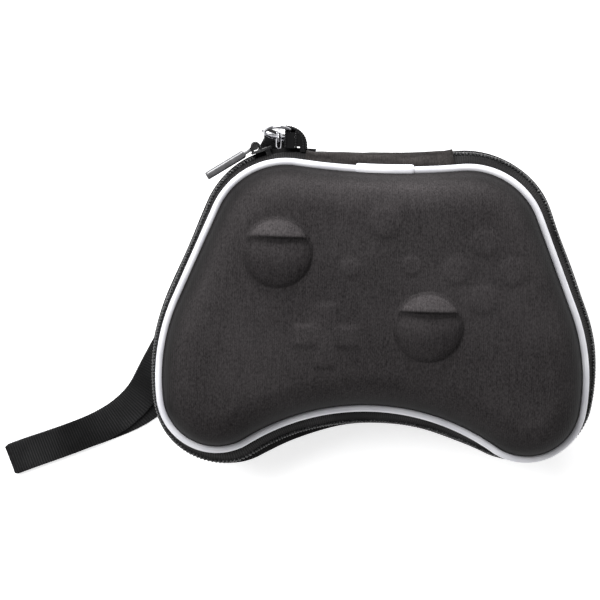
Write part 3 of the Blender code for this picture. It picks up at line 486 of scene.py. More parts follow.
def lattice(name, points, along, across, closed_along=False, caps=False):
    """A skin over a grid of points (rows, columns, 3); along and across are its map in metres."""
    rows, columns = points.shape[:2]
    last_row = rows if closed_along else rows - 1
    i, j = np.meshgrid(np.arange(last_row), np.arange(columns), indexing="ij")
    i = i.ravel()
    j = j.ravel()
    corners_i = np.stack([i, i + 1, i + 1, i], axis=1)
    corners_j = np.stack([j, j, j + 1, j + 1], axis=1)
    faces = (corners_i % rows) * columns + corners_j % columns
    corner_map = np.stack([along[corners_i], across[corners_j]], axis=-1).reshape(-1, 2).tolist()
    faces = faces.tolist()
    if caps:
        for row in (0, rows - 1):
            faces.append([row * columns + column for column in range(columns)])
            corner_map += [(along[row], across[column]) for column in range(columns)]
    return mesh_object(name, points.reshape(-1, 3), faces, corner_map)


def tube_mesh(name, path, radii, sides, closed=False):
    """A round bar along a path of points; radii is one radius or one for each point."""
    path = np.asarray(path, dtype=float)
    count = len(path)
    radii = np.broadcast_to(np.asarray(radii, dtype=float), (count,))
    if closed:
        tangents = np.roll(path, -1, axis=0) - np.roll(path, 1, axis=0)
    else:
        tangents = np.gradient(path, axis=0)
    tangents /= np.linalg.norm(tangents, axis=1)[:, None]
    side = np.cross(tangents[0], (0.0, 0.0, 1.0) if abs(tangents[0][2]) < 0.9 else (1.0, 0.0, 0.0))
    side /= np.linalg.norm(side)
    spokes = []
    for tangent in tangents:
        side = side - tangent * side.dot(tangent)
        side /= np.linalg.norm(side)
        spokes.append(side.copy())
    across = np.array(spokes)
    up = np.cross(tangents, across)
    turns = np.linspace(0.0, 2 * math.pi, sides, endpoint=False)
    ring = across[:, None, :] * np.cos(turns)[:, None] + up[:, None, :] * np.sin(turns)[:, None]
    grid = path[:, None, :] + ring * radii[:, None, None]
    travel = np.concatenate([[0.0], np.cumsum(np.linalg.norm(np.diff(path, axis=0), axis=1))])
    travel = np.concatenate([travel, travel[-1:] + 0.0005])
    round_way = np.concatenate([turns, [2 * math.pi]]) * radii.mean()
    return lattice(name, grid, travel, round_way, closed, not closed)


# The outline

def polar(radius, angle):
    return Vector((radius * math.cos(angle), radius * math.sin(angle)))


def arc(centre, radius, start, end, steps, reaches, side=1):
    stations = []
    for share in (index / steps for index in range(steps)):
        angle = start + (end - start) * share
        reach = reaches[0] + (reaches[1] - reaches[0]) * share
        stations.append((centre + polar(radius, angle), polar(side, angle), reach))
    return stations


def tangent_radius(drop, across, radius):
    return (across * across + drop * drop - radius * radius) / (2 * (radius - drop))


def right_half(reach):
    """(point, outward normal, zip reach) from the top centre round the right side to the arch crown."""
    top_radius = tangent_radius(TOP_DIP_Y - SHOULDER.y, SHOULDER.x, SHOULDER_RADIUS)
    arch_radius = tangent_radius(LOBE.y - ARCH_CROWN_Y, LOBE.x, LOBE_RADIUS)
    top_centre = Vector((0.0, TOP_DIP_Y + top_radius))
    arch_centre = Vector((0.0, ARCH_CROWN_Y - arch_radius))
    top_turn = math.atan2(SHOULDER.x, top_centre.y - SHOULDER.y)
    lean = polar(1.0, SIDE_LEAN)
    along = Vector((lean.y, -lean.x))
    inward = SHOULDER + lean * (SHOULDER_RADIUS - SIDE_RADIUS)
    across = (LOBE - inward).dot(lean)
    straight = (LOBE - inward).dot(along) - math.sqrt((SIDE_RADIUS - LOBE_RADIUS) ** 2 - across ** 2)
    side_centre = inward + along * straight
    lobe_start = math.atan2(LOBE.y - side_centre.y, LOBE.x - side_centre.x)
    lobe_end = math.atan2(arch_centre.y - LOBE.y, arch_centre.x - LOBE.x)
    stations = arc(top_centre, top_radius, -math.pi / 2, -math.pi / 2 + top_turn, 5, (HINGE_REACH,) * 2, -1)
    shoulder_turn = math.pi / 2 + top_turn
    stations += arc(SHOULDER, SHOULDER_RADIUS, shoulder_turn, SIDE_LEAN, 9, (reach["shoulder"],) * 2)
    side_start = SHOULDER + lean * SHOULDER_RADIUS
    stations += [(side_start + along * straight * index / 6, lean, reach["side"]) for index in range(6)]
    stations += arc(side_centre, SIDE_RADIUS, SIDE_LEAN, lobe_start, 5, (reach["side"],) * 2)
    stations += arc(LOBE, LOBE_RADIUS, lobe_start, lobe_end, 12, reach["lobe"])
    arch_reach = (reach["arch"], CROWN_REACH)
    stations += arc(arch_centre, arch_radius, lobe_end + math.pi, math.pi / 2, 8, arch_reach, -1)
    stations.append((Vector((0.0, ARCH_CROWN_Y)), Vector((0.0, -1.0)), CROWN_REACH))
    return stations


def coarse_outline():
    """Both halves joined, with the zip reach evened out from one stretch to the next."""
    left = [(Vector((-p.x, p.y)), Vector((-n.x, n.y)), reach)
            for p, n, reach in reversed(right_half(LEFT_REACH)[1:-1])]
    stations = right_half(RIGHT_REACH) + left
    reaches = np.array([station[2] for station in stations])
    for _ in range(REACH_PASSES):
        reaches = (np.roll(reaches, 1) + 2 * reaches + np.roll(reaches, -1)) / 4
    return [(p, n, reach) for (p, n, _), reach in zip(stations, reaches)]


def fine_outline(count):
    """Evenly spaced points, outward normals, zip reach and distance round the sewn edge."""
    corners = coarse_outline()
    steps = 24
    spots = []
    for (p0, n0, r0), (p1, n1, r1) in zip(corners, corners[1:] + corners[:1]):
        span = (p1 - p0).length
        start = Vector((n0.y, -n0.x)) * span
        end = Vector((n1.y, -n1.x)) * span
        for step in range(steps):
            t = step / steps
            spot = (p0 * (2 * t ** 3 - 3 * t ** 2 + 1) + start * (t ** 3 - 2 * t ** 2 + t)
                    + p1 * (3 * t ** 2 - 2 * t ** 3) + end * (t ** 3 - t ** 2))
            spots.append((spot.x, spot.y, r0 + (r1 - r0) * t))
    spots = np.array(spots + spots[:1])
    distance = np.concatenate([[0.0], np.cumsum(np.hypot(*np.diff(spots[:, :2], axis=0).T))])
    even = np.linspace(0.0, distance[-1], count, endpoint=False)
    points = np.stack([np.interp(even, distance, spots[:, k]) for k in (0, 1)], axis=1)
    reach = np.interp(even, distance, spots[:, 2])
    ahead = np.roll(points, -1, axis=0) - np.roll(points, 1, axis=0)
    normals = np.stack([-ahead[:, 1], ahead[:, 0]], axis=1) / np.hypot(*ahead.T)[:, None]
    return points, normals, reach, even, distance[-1]


STATIONS = 720
EDGE, OUTWARD, REACH, TRAVEL, PERIMETER = fine_outline(STATIONS)


def outline_at(travel):
    """Points, outward normals and zip reach at given distances round the sewn edge."""
    looped = np.column_stack([EDGE, OUTWARD, REACH])
    looped = np.vstack([looped, looped[:1]])
    wrapped = np.append(TRAVEL, PERIMETER)
    columns = [np.interp(travel % PERIMETER, wrapped, values) for values in looped.T]
    return np.stack(columns[0:2], axis=1), np.stack(columns[2:4], axis=1), columns[4]


def run_between(start, end, spacing=0.0007):
    """Points, normals, reach and distance on an open stretch of the outline."""
    travel = np.linspace(start, end, max(int((end - start) / spacing), 8))
    points, normals, reach = outline_at(travel)
    return points, normals / np.hypot(*normals.T)[:, None], reach, travel


def swept(name, points, normals, travel, out, level, closed_along=False, caps=False):
    """Sweep a section along the outline; out and level are (rows, columns) offsets and heights."""
    rows, columns = out.shape
    grid = np.empty((rows, columns, 3))
    grid[..., :2] = points[:, None, :] + normals[:, None, :] * out[..., None]
    grid[..., 2] = level
    steps = np.hypot(np.diff(out[0], append=out[0, :1]), np.diff(level[0], append=level[0, :1]))
    across = np.concatenate([[0.0], np.cumsum(steps)])
    along = np.concatenate([travel, [PERIMETER]])
    return lattice(name, grid, along, across, closed_along, caps)


# Shells

def wall_height(inset, sweep, rise):
    share = np.clip((inset - (SHELL_INSET + WALL_SWEEP - sweep)) / sweep, 0.0, 1.0)
    return rise * np.sqrt(np.clip(1.0 - (1.0 - share) ** 2, 0.0, 1.0))


def inside_outline(x, y):
    """Which points lie inside the sewn edge."""
    within = np.zeros(x.shape, dtype=bool)
    for (x0, y0), (x1, y1) in zip(EDGE, np.roll(EDGE, -1, axis=0)):
        crosses = (y0 > y) != (y1 > y)
        if y0 != y1:
            within ^= crosses & (x < x0 + (y - y0) * (x1 - x0) / (y1 - y0))
    return within


class Crown:
    """Height of a skin blown up over the outline, from 0 at the edge to 1 at its highest place."""

    spacing = 0.0025
    passes = 2600

    def __init__(self):
        self.low = EDGE.min(axis=0) - 3 * self.spacing
        size = ((EDGE.max(axis=0) - self.low) / self.spacing).astype(int) + 5
        x = self.low[0] + np.arange(size[0]) * self.spacing
        y = self.low[1] + np.arange(size[1]) * self.spacing
        within = inside_outline(*np.meshgrid(x, y, indexing="ij"))
        skin = np.zeros(size)
        for _ in range(self.passes):
            around = np.zeros(size)
            around[1:-1, 1:-1] = (skin[:-2, 1:-1] + skin[2:, 1:-1] + skin[1:-1, :-2] + skin[1:-1, 2:]) / 4
            skin = np.where(within, around + 1.0, 0.0)
        self.skin = skin / skin.max()

    def at(self, x, y):
        """Smooth values between the grid's points."""
        u = (x - self.low[0]) / self.spacing
        v = (y - self.low[1]) / self.spacing
        i = np.clip(u.astype(int), 1, self.skin.shape[0] - 3)
        j = np.clip(v.astype(int), 1, self.skin.shape[1] - 3)
        total = 0.0
        for a, weight_a in enumerate(self.weights(u - i)):
            for b, weight_b in enumerate(self.weights(v - j)):
                total = total + weight_a * weight_b * self.skin[i + a - 1, j + b - 1]
        return np.clip(total, 0.0, 1.0)

    @staticmethod
    def weights(t):
        return ((1 - t) ** 3 / 6, (3 * t ** 3 - 6 * t ** 2 + 4) / 6,
                (-3 * t ** 3 + 3 * t ** 2 + 3 * t + 1) / 6, t ** 3 / 6)


CROWN = Crown()


def smooth_step(value):
    value = np.clip(value, 0.0, 1.0)
    return value * value * (3 - 2 * value)


def button_height(x, y, centre, size):
    """A low cushion with a soft foot."""
    radius, height = size
    away = np.hypot(x - centre[0], y - centre[1]) / radius
    return height * smooth_step((1.15 - away) / 0.55)


def painted_light_on_dome(x, y, centre):
    """Painted light on a stick dome: a painted highlight on its upper part, painted shade in the crease
    under it, a painted sheen below the crease and painted shade on its lower flanks.
    """
    dx = x - centre[0]
    dy = y - centre[1]
    away = np.hypot(dx, dy) / THUMB_RADIUS
    inside = smooth_step((0.95 - away) / 0.06)
    crease = np.exp(-((dy - CHORD_UP + 0.0014) / 0.0016) ** 2) * (dy < CHORD_UP + 0.0004)
    painted_sheen = np.exp(-((dy - CHORD_UP + 0.0058) / 0.0026) ** 2 - (dx / 0.008) ** 2)
    painted_flank_shade = smooth_step((away - 0.72) / 0.25) * (dy < CHORD_UP) * (away < 1.0)
    fade = 1.12 - 0.42 * np.clip((dy - CHORD_UP) / (THUMB_RADIUS - CHORD_UP), 0.0, 1.0)
    lid = 0.86 * fade * smooth_step((dy - CHORD_UP) / 0.0020)
    return inside * (lid - 0.50 * crease) + 0.20 * painted_sheen - 0.14 * painted_flank_shade


def thumb_height(x, y, centre, lip=True):
    """A stick dome whose upper part stands out as a lid over a straight crease."""
    dx = x - centre[0]
    dy = y - centre[1]
    away = np.hypot(dx, dy) / THUMB_RADIUS
    dome = THUMB_HEIGHT * np.clip(1.0 - away ** 2.4, 0.0, 1.0) ** 0.8
    if not lip:
        return dome
    crease = smooth_step((dy - CHORD_UP + 0.0006) / 0.0012)
    fade = smooth_step((1.0 - away) / 0.18)
    slant = np.clip((1.0 - away) / (1.0 - CHORD_UP / THUMB_RADIUS), 0.0, 1.0)
    below = np.exp(-((dy - CHORD_UP + 0.0014) / 0.0012) ** 2)
    return dome + (LIP_STEP * fade + LIP_SLANT * slant) * crease - 0.4 * LIP_STEP * below * fade


def cross_height(x, y):
    """A plus with soft edges."""
    bars = []
    for offset in (x - CROSS[0], y - CROSS[1]):
        for half in (CROSS_ARM, CROSS_REACH):
            bars.append(smooth_step((half - np.abs(offset)) / CROSS_SOFTNESS + 0.5))
    arm_x, reach_x, arm_y, reach_y = bars
    return CROSS_HEIGHT * np.maximum(arm_x * reach_y, arm_y * reach_x)


def low_relief(x, y):
    """The faint marks of the buttons and the cross, pressed from within."""
    total = cross_height(x, y)
    for quarter in range(4):
        turn = quarter * math.pi / 2
        centre = (FACE_BUTTONS[0] + FACE_BUTTON_SPREAD * math.cos(turn),
                  FACE_BUTTONS[1] + FACE_BUTTON_SPREAD * math.sin(turn))
        total += button_height(x, y, centre, FACE_BUTTON_SIZE)
    for centre in SMALL_BUTTONS:
        total += button_height(x, y, centre, SMALL_BUTTON_SIZE)
    return total + button_height(x, y, CENTRE_BUTTON, CENTRE_BUTTON_SIZE)


def add_painted_light(item, edge_level, outside):
    """Painted light on the skin: painted shade down the walls, a painted highlight along the hinge edge of
    the lid, and painted highlight and shade on the button marks.
    """
    x, y, z = places_of(item).T
    rise = (z - edge_level) * outside / WALL_RISE
    # Painted shade down the walls.
    painted_light = -0.9 * (1 - smooth_step((rise - 0.45) / 0.55))
    if outside > 0:
        step = 0.0012
        # Painted highlight on the marks and their upper edges, painted shade on their lower edges.
        lit_upper_edge = low_relief(x, y - step) - low_relief(x, y + step)
        painted_light += (low_relief(x, y) + 1.8 * lit_upper_edge) * MARK_PAINTED_LIGHT * (rise > 0.7)
        # Painted highlight along the hinge edge of the lid.
        hinge_highlight = smooth_step((y - 0.033) / 0.012)
        painted_light += 0.85 * hinge_highlight * np.exp(-((x - 0.006) / 0.040) ** 2) * smooth_step((1.02 - rise) / 0.25)
    write_painted_light(item, painted_light)


def add_relief(item, face_floor):
    """Refine the mesh round the stick domes and raise the relief, weaker on the lining under the face."""
    bm = bmesh.new()
    bm.from_mesh(item.data)
    near = []
    for edge in bm.edges:
        middle = (edge.verts[0].co + edge.verts[1].co) / 2
        if middle.z < face_floor or edge.calc_length() < RELIEF_SPACING:
            continue
        if any((middle.xy - Vector(centre)).length < THUMB_RADIUS + 0.001 for centre in THUMBS):
            near.append(edge)
    bmesh.ops.subdivide_edges(bm, edges=near, cuts=2, use_grid_fill=True)
    x, y, z = np.array([vertex.co for vertex in bm.verts]).T
    outer_rise = sum(thumb_height(x, y, centre) for centre in THUMBS) + low_relief(x, y)
    inner_rise = sum(thumb_height(x, y, centre, False) for centre in THUMBS) * 0.9
    face = FRONT_EDGE_Z + WALL_RISE + CROWN_RISE * CROWN.at(x, y)
    under = z < face - WALL * 0.6
    moved = z > face_floor - 0.004
    rise = np.where(under, inner_rise, outer_rise) * moved
    # Painted highlight and painted shade on the stick domes.
    painted_on_domes = sum(painted_light_on_dome(x, y, centre) for centre in THUMBS) * (moved & ~under)
    painted_light = bm.verts.layers.float["painted_light"]
    for vertex, lift, tone in zip(bm.verts, rise, painted_on_domes):
        vertex.co.z += lift
        vertex[painted_light] += tone
    bm.to_mesh(item.data)
    bm.free()


def add_shell(name, outside, edge_level, body):
    """One moulded half: outer skin, rim and lining as one closed laminate."""
    turns = np.linspace(0.0, math.pi / 2, SWEEP_RINGS)
    pulls = 1.0 - (1.0 - np.linspace(0.0, 1.0, FACE_RINGS)[1:-1]) ** 1.05
    skins = []
    for offset in (0.0, WALL):
        sweep = WALL_SWEEP - offset
        insets = SHELL_INSET + WALL_SWEEP - sweep * np.cos(turns)
        wall = [EDGE - OUTWARD * inset for inset in insets]
        if not offset:
            wall[0] = wall[0] + OUTWARD * SEAM_TUCK
            wall[1] = wall[1] + OUTWARD * SEAM_TUCK / 2
        rows = [wall[0]] + wall
        heights = [np.full(STATIONS, -RIM_LIP)]
        for spots, inset in zip(wall, insets):
            swell = CROWN.at(*spots.T) * (inset > insets[0])
            heights.append(wall_height(inset, sweep, WALL_RISE - offset) + CROWN_RISE * swell)
        for pull in (pulls if not offset else pulls[::3]):
            spots = wall[-1] * (1.0 - pull)
            rows.append(spots)
            heights.append(WALL_RISE - offset + CROWN_RISE * CROWN.at(*spots.T))
        skins.append((np.array(rows), np.array(heights)))

    vertices = []
    rings = []
    for spots, heights in skins:
        skin = []
        for ring, rise in zip(spots, heights):
            skin.append(range(len(vertices), len(vertices) + STATIONS))
            vertices += [(x, y, edge_level + outside * z) for (x, y), z in zip(ring, rise)]
        rings.append(skin)
    strips = [pair for skin in rings for pair in zip(skin, skin[1:])] + [(rings[0][0], rings[1][0])]
    faces = []
    for first, second in strips:
        faces += [(first[i], first[i - 1], second[i - 1], second[i]) for i in range(STATIONS)]
    for skin, offset in zip(rings, (0.0, WALL)):
        swell = float(CROWN.at(np.zeros(1), np.zeros(1))[0])
        top = edge_level + outside * (WALL_RISE - offset + CROWN_RISE * swell)
        centre = len(vertices)
        vertices.append((0.0, 0.0, top))
        faces += [(skin[-1][i], skin[-1][i - 1], centre) for i in range(STATIONS)]
    item = mesh_object(name, vertices, faces)
    add_painted_light(item, edge_level, outside)
    if outside > 0:
        add_relief(item, edge_level + WALL_RISE - WALL / 2)
    else:
        places = places_of(item)
        places[:, 2] = np.maximum(places[:, 2], 0.0)
        item.data.vertices.foreach_set("co", places.ravel())
    finish_piece(item, name, body, (name,), smooth_angle=60.0)


# Piping, sleeves and bindings

def add_piping(side, level, body):
    turns = np.linspace(0.0, 2 * math.pi, 20, endpoint=False)
    out = np.tile(PIPING_RADIUS * np.cos(turns), (STATIONS, 1))
    lift = level + np.tile(PIPING_RADIUS * np.sin(turns), (STATIONS, 1))
    cord = swept(side + "_piping", EDGE, OUTWARD, TRAVEL, out, lift, closed_along=True)
    finish_piece(cord, "piping", body, (side + "_piping",))


def add_sleeve(side, outside, level, body):
    """The short wrap over the piping's ends, thinner at its own ends."""
    points, normals, _, travel = run_between(SLEEVE_START, SLEEVE_END, 0.0004)
    angles = np.radians(np.linspace(-45.0, 120.0, 22))
    share = np.linspace(0.0, 1.0, len(travel))
    ends = smooth_step(np.minimum(share, 1 - share) / 0.035)
    outer = (PIPING_RADIUS + FIT_GAP + SLEEVE_THICKNESS * (0.55 + 0.45 * ends))[:, None]
    inner = np.full_like(outer, PIPING_RADIUS + FIT_GAP * 0.3)
    out = np.hstack([outer * np.cos(angles), inner * np.cos(angles[::-1])])
    lift = np.hstack([outer * np.sin(angles), inner * np.sin(angles[::-1])])
    wrap = swept(side + "_piping_sleeve", points, normals, travel, out, level + outside * lift, caps=True)
    finish_piece(wrap, "sleeve", body, (side + "_piping_sleeve",))


def add_binding(side, outside, level, body):
    across, up = np.array(BINDING_SECTION).T
    near = SHELL_INSET + WALL + FIT_GAP
    low = level - outside * RIM_LIP
    out = np.tile(-near - BINDING_THICKNESS * 0.89 * across, (STATIONS, 1))
    lift = np.tile(low + outside * BINDING_HEIGHT * 0.94 * (0.03 + up), (STATIONS, 1))
    tape = swept(side + "_binding", EDGE, OUTWARD, TRAVEL, out, lift, closed_along=True)
    finish_piece(tape, "lining", body, (side + "_binding",))


# Zip band and hinge panel

def coil_reach(reach):
    """How far out the teeth stand: just inside the back tape, and well inside where the band is widest."""
    return reach - TEETH_INSET - TEETH_SHIFT * smooth_step((reach - 0.0072) / 0.0030)


def band_face(reach, share):
    """Outer face of the band: share runs from 0 at the piping to 1 at the zip."""
    foot = -PIPING_RADIUS * 0.2
    return foot + (reach - COIL_THICKNESS - FIT_GAP - foot) * (1 - (1 - share) ** 3)


def add_tape(side, outside):
    start = PANEL_HALF_LENGTH - TAPE_TUCK
    points, normals, reach, travel = run_between(start, PERIMETER - start)
    foot_z = MID_Z - BACK_EDGE_Z - PIPING_RADIUS - FIT_GAP
    shares = np.concatenate([np.linspace(0.0, 0.54, 8), np.linspace(0.58, 0.74, 9),
                             [0.8, 0.87, 0.94, 0.97, 1.0]])
    levels = foot_z + (COIL_WIRE / 2 - foot_z) * shares
    teeth = coil_reach(reach)
    tuck = SEAM_TUCK * smooth_step((shares - 0.45) / 0.3)
    face = band_face(teeth[:, None], shares[None, :]) + tuck[None, :]
    if outside < 0:
        swell = np.sin(np.clip(shares / WELT_SHARE, 0.0, 1.0) * math.pi / 2) ** 0.8
        welt = (reach[:, None] + PIPING_RADIUS * 0.2) * swell[None, :] - PIPING_RADIUS * 0.2
        step_in = smooth_step((shares - WELT_SHARE) / 0.09)[None, :]
        face = welt + (face - welt) * step_in
    ridge = 0.00012 * np.exp(-((shares - 0.93) / 0.03) ** 2)
    ripple = 0.00010 * np.sin(travel * 210.0)[:, None] * np.sin(shares * math.pi)[None, :]
    outer = face + ridge + ripple
    inner = (face - TAPE_THICKNESS)[:, ::-1]
    out = np.concatenate([outer, inner], axis=1)
    lift = np.tile(np.concatenate([levels, levels[::-1]]), (len(travel), 1))
    return swept(side + "_zip_tape", points, normals, travel, out, MID_Z + outside * lift, caps=True)


def slider_distance():
    return PERIMETER - PANEL_HALF_LENGTH - SLIDER_STANDOFF


def coil_path(outside):
    """Centre line of one row of teeth: a flattened spring that runs along the band."""
    start = PANEL_HALF_LENGTH - FIT_GAP
    end = slider_distance() - FIT_GAP
    turns = int((end - start) / TOOTH_PITCH)
    per_turn = 14
    share = np.arange(turns * per_turn) / per_turn
    travel = start + share * TOOTH_PITCH
    points, normals, reach = outline_at(travel)
    angle = 2 * math.pi * (share + (0.5 if outside < 0 else 0.0))
    half_thick = COIL_THICKNESS / 2 - COIL_WIRE
    half_wide = COIL_WIDTH / 2 - COIL_WIRE
    lean = 0.30 * TOOTH_PITCH * np.sign(np.sin(angle)) * (1 - np.abs(np.cos(angle)))
    bulge = np.abs(np.cos(angle)) ** 0.6 * np.sign(np.cos(angle))
    out = coil_reach(reach) - COIL_THICKNESS / 2 + half_thick * np.sin(angle)
    lift = FIT_GAP / 2 + COIL_WIDTH / 2 - half_wide * bulge
    ahead = np.stack([normals[:, 1], -normals[:, 0]], axis=1)
    flat = points + normals * out[:, None] + ahead * lean[:, None]
    return np.column_stack([flat, MID_Z + outside * lift])


def add_panel():
    """The fabric panel over the hinge: stitched at both ends, slack and wrinkled between."""
    points, normals, reach, travel = run_between(-PANEL_HALF_LENGTH, PANEL_HALF_LENGTH, 0.0004)
    foot_z = MID_Z - BACK_EDGE_Z - PIPING_RADIUS - FIT_GAP
    shares = np.linspace(0.0, 1.0, 15)
    face = band_face(reach[:, None], shares[None, :]) + FIT_GAP
    levels = foot_z + (TAPE_SETBACK - foot_z) * shares
    inner = np.hstack([face, face[:, ::-1]])
    lift = np.concatenate([levels, -levels[::-1]])
    ends = smooth_step((PANEL_HALF_LENGTH - np.abs(travel)) / 0.0035)[:, None]
    along = travel[:, None] * 1000.0
    creases = sum(size * np.sin(along * lengthwise + lift * 1000.0 * upright + phase)
                  for size, lengthwise, upright, phase in PANEL_WAVES)
    seam = -0.25 * np.exp(-((np.abs(along) - PANEL_HALF_LENGTH * 1000 + 1.3) / 0.35) ** 2)
    middle = lift / foot_z
    loose = (0.18 + 0.82 * np.sin(math.pi * np.abs(middle)) ** 2) * (1 - middle ** 6)
    slack = PANEL_FLARE * (points[:, :1] / PANEL_HALF_LENGTH + 1) / 2 - PANEL_SAG * ends
    outer = inner + PANEL_THICKNESS + slack + (creases * 1.2 * ends + seam) * 0.001 * loose
    out = np.hstack([inner, outer[:, ::-1]])
    heights = MID_Z + np.tile(np.concatenate([lift, lift[::-1]]), (len(travel), 1))
    panel = swept("hinge_panel", points, normals, travel, out, heights, caps=True)
    # Painted highlight on the crease crests, painted shade in their troughs and towards the stitched ends.
    write_painted_light(panel, np.hstack([creases, creases[:, ::-1]]) * 1.6 * ends - 0.25 * (1 - ends))
    finish_piece(panel, "panel", None, ("hinge_panel",), smooth_angle=60.0)
    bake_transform(panel, "base", "lid", start=(0.0, 0.055, 0.027), end=(0.0, 0.055, 0.043))


def add_half_of_band(side, outside, body):
    """One tape and its row of teeth; the lid's are carried between the two bodies at the hinge."""
    tape = add_tape(side, outside)
    coil = tube_mesh(side + "_zip_coil", coil_path(outside), COIL_WIRE, 6)
    for item, look, slot in ((tape, "tape", "zip_tape"), (coil, "coil", "zip_coil")):
        finish_piece(item, look, None if outside > 0 else body, (side + "_" + slot,))
        if outside > 0:
            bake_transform(item, "base", "lid", start=(0.0, 0.059, 0.034), end=(0.0, 0.052, 0.041))


# Slider and pull

def slider_plate(name, low, high):
    """A plate that is widest near its front and narrows to its tail."""
    points = []
    for share in np.linspace(0.0, 1.0, 9):
        half = SLIDER_HALF_WIDTH * math.sin(math.pi * (0.30 + 0.34 * min(share * 1.6, 1.0)))
        taper = (SLIDER_HALF_WIDTH - SLIDER_TAIL_HALF_WIDTH) * float(smooth_step(share * 1.1 - 0.1))
        half = min(half, SLIDER_HALF_WIDTH - taper)
        points.append((-SLIDER_FRONT + (SLIDER_FRONT + SLIDER_TAIL) * share, -half))
    points += [(u, -v) for u, v in reversed(points)]
    return extruded(name, points, lambda u, v, w: (w, u, v), low, high, PLATE_BEVEL)


def add_slider():
    spots, _, reaches = outline_at(np.array([slider_distance()]))
    angle = math.atan2(spots[0][1] - SHOULDER.y, spots[0][0] + SHOULDER.x)
    crest = SHOULDER_RADIUS + float(reaches[0])
    plate_base = crest + FIT_GAP
    plate_top = plate_base + SLIDER_PLATE
    pivot_out = plate_top + FIT_GAP + PIVOT_RADIUS + PIVOT_LIFT
    sag = SLIDER_FRONT ** 2 / (2 * SHOULDER_RADIUS)
    inside_top = crest - COIL_THICKNESS - 3 * FIT_GAP - TAPE_THICKNESS - sag
    axis = Matrix.Translation((-SHOULDER.x, SHOULDER.y, MID_Z)) @ Matrix.Rotation(angle, 4, "Z")

    upper = slider_plate("slider_body", plate_base, plate_top)
    lower = slider_plate("slider_inner_plate", inside_top - SLIDER_PLATE, inside_top)
    wedge = [(-SLIDER_FRONT + ahead, across) for ahead, across in POST_WEDGE]
    ends = (inside_top - POST_SEAT, plate_base + POST_SEAT)
    post = extruded("slider_post", wedge, lambda u, v, w: (w, u, v), *ends)
    leg = CROWN_LEG / 2
    foot = plate_top - 0.0005
    rise = pivot_out + PIVOT_RADIUS + FIT_GAP + leg - foot
    half_span = PIVOT_RADIUS + FIT_GAP + leg
    arch = [(foot + rise * math.sin(turn) ** 0.55, half_span * math.cos(turn), 0.0)
            for turn in np.linspace(0.0, math.pi, 13)]
    crown = tube_mesh("slider_crown", arch, leg, 14)
    for item in (upper, lower, post, crown):
        replaces = ("slider_body",) if item is upper else ()
        finish_piece(placed(item, axis), "enamel", "zip_slider", replaces, smooth_angle=35.0)

    lift = pivot_out - plate_top - FIT_GAP
    tail_lean = math.asin(max(lift - HEAD_THICKNESS / 2, 0.0) / math.hypot(SLIDER_TAIL, lift))
    teeth_lean = math.acos(min((crest + FIT_GAP + PULL_THICKNESS / 2) / pivot_out, 1.0))
    turn = math.pi / 2 + min(tail_lean, teeth_lean)
    add_pull(axis @ Matrix.Translation((pivot_out, 0, 0)) @ Matrix.Rotation(turn, 4, "Z"))


def add_pull(pivot):
    """The pull: a bar that narrows to a forked eye and thickens to a blunt end."""
    half = PULL_WIDTH / 2
    thick = PULL_THICKNESS / 2
    head = HEAD_THICKNESS / PULL_THICKNESS
    stations = ((0.0018, 0.86, head * 0.8), (0.0024, 0.97, head), (0.0036, 1.0, head),
                (HEAD_LENGTH - 0.0002, 1.0, head), (HEAD_LENGTH, 0.99, head * 1.2),
                (HEAD_LENGTH + 0.0005, 0.98, 0.92), (HEAD_LENGTH + 0.0010, 0.985, 1.0), (0.0120, 0.99, 1.0),
                (PULL_LENGTH - 0.0017, 1.0, 1.0), (PULL_LENGTH - 0.0007, 0.97, 0.98),
                (PULL_LENGTH - 0.0002, 0.90, 0.90), (PULL_LENGTH, 0.78, 0.74))
    corners = []
    for turn in (2 * math.pi * index / 32 for index in range(32)):
        size = (abs(math.cos(turn)) ** 5 + abs(math.sin(turn)) ** 5) ** -0.2
        corners.append((thick * size * math.cos(turn), half * size * math.sin(turn)))
    rings = [[(along, deep * u, wide * v) for u, v in corners] for along, wide, deep in stations]
    bar = skin_over("pull_bar", rings)
    pin_path = [(0, 0, half * share) for share in (-0.92, -0.3, 0.3, 0.92)]
    pieces = [bar, tube_mesh("pull_pin", pin_path, PIVOT_RADIUS, 20)]
    eye = PIVOT_RADIUS + PIVOT_LIFT
    cheek = [(eye * math.cos(t), eye * math.sin(t)) for t in np.radians(range(40, 321, 20))]
    cheek += [(0.0026, -thick * head), (0.0026, thick * head)]
    for name, middle in (("pull_cheek_low", -0.68 * half), ("pull_cheek_high", 0.68 * half)):
        ends = (middle - half * 0.27, middle + half * 0.27)
        pieces.append(extruded(name, cheek, lambda u, v, w: (u, v, w), *ends, CHEEK_BEVEL))
    for item in pieces:
        replaces = ("pull_tab",) if item is bar else ()
        look = "metal" if item is bar else "enamel"
        finish_piece(placed(item, pivot), look, "zip_pull", replaces, smooth_angle=35.0)


# Ring tab, ring and hook

def band_top(low_x, high_x):
    """Highest outer face of the band at the parting level, on the hinge side between two places."""
    near = (EDGE[:, 0] > low_x) & (EDGE[:, 0] < high_x) & (EDGE[:, 1] > SHOULDER.y)
    return float(np.max(EDGE[near, 1] + REACH[near])) - COIL_THICKNESS + PANEL_THICKNESS


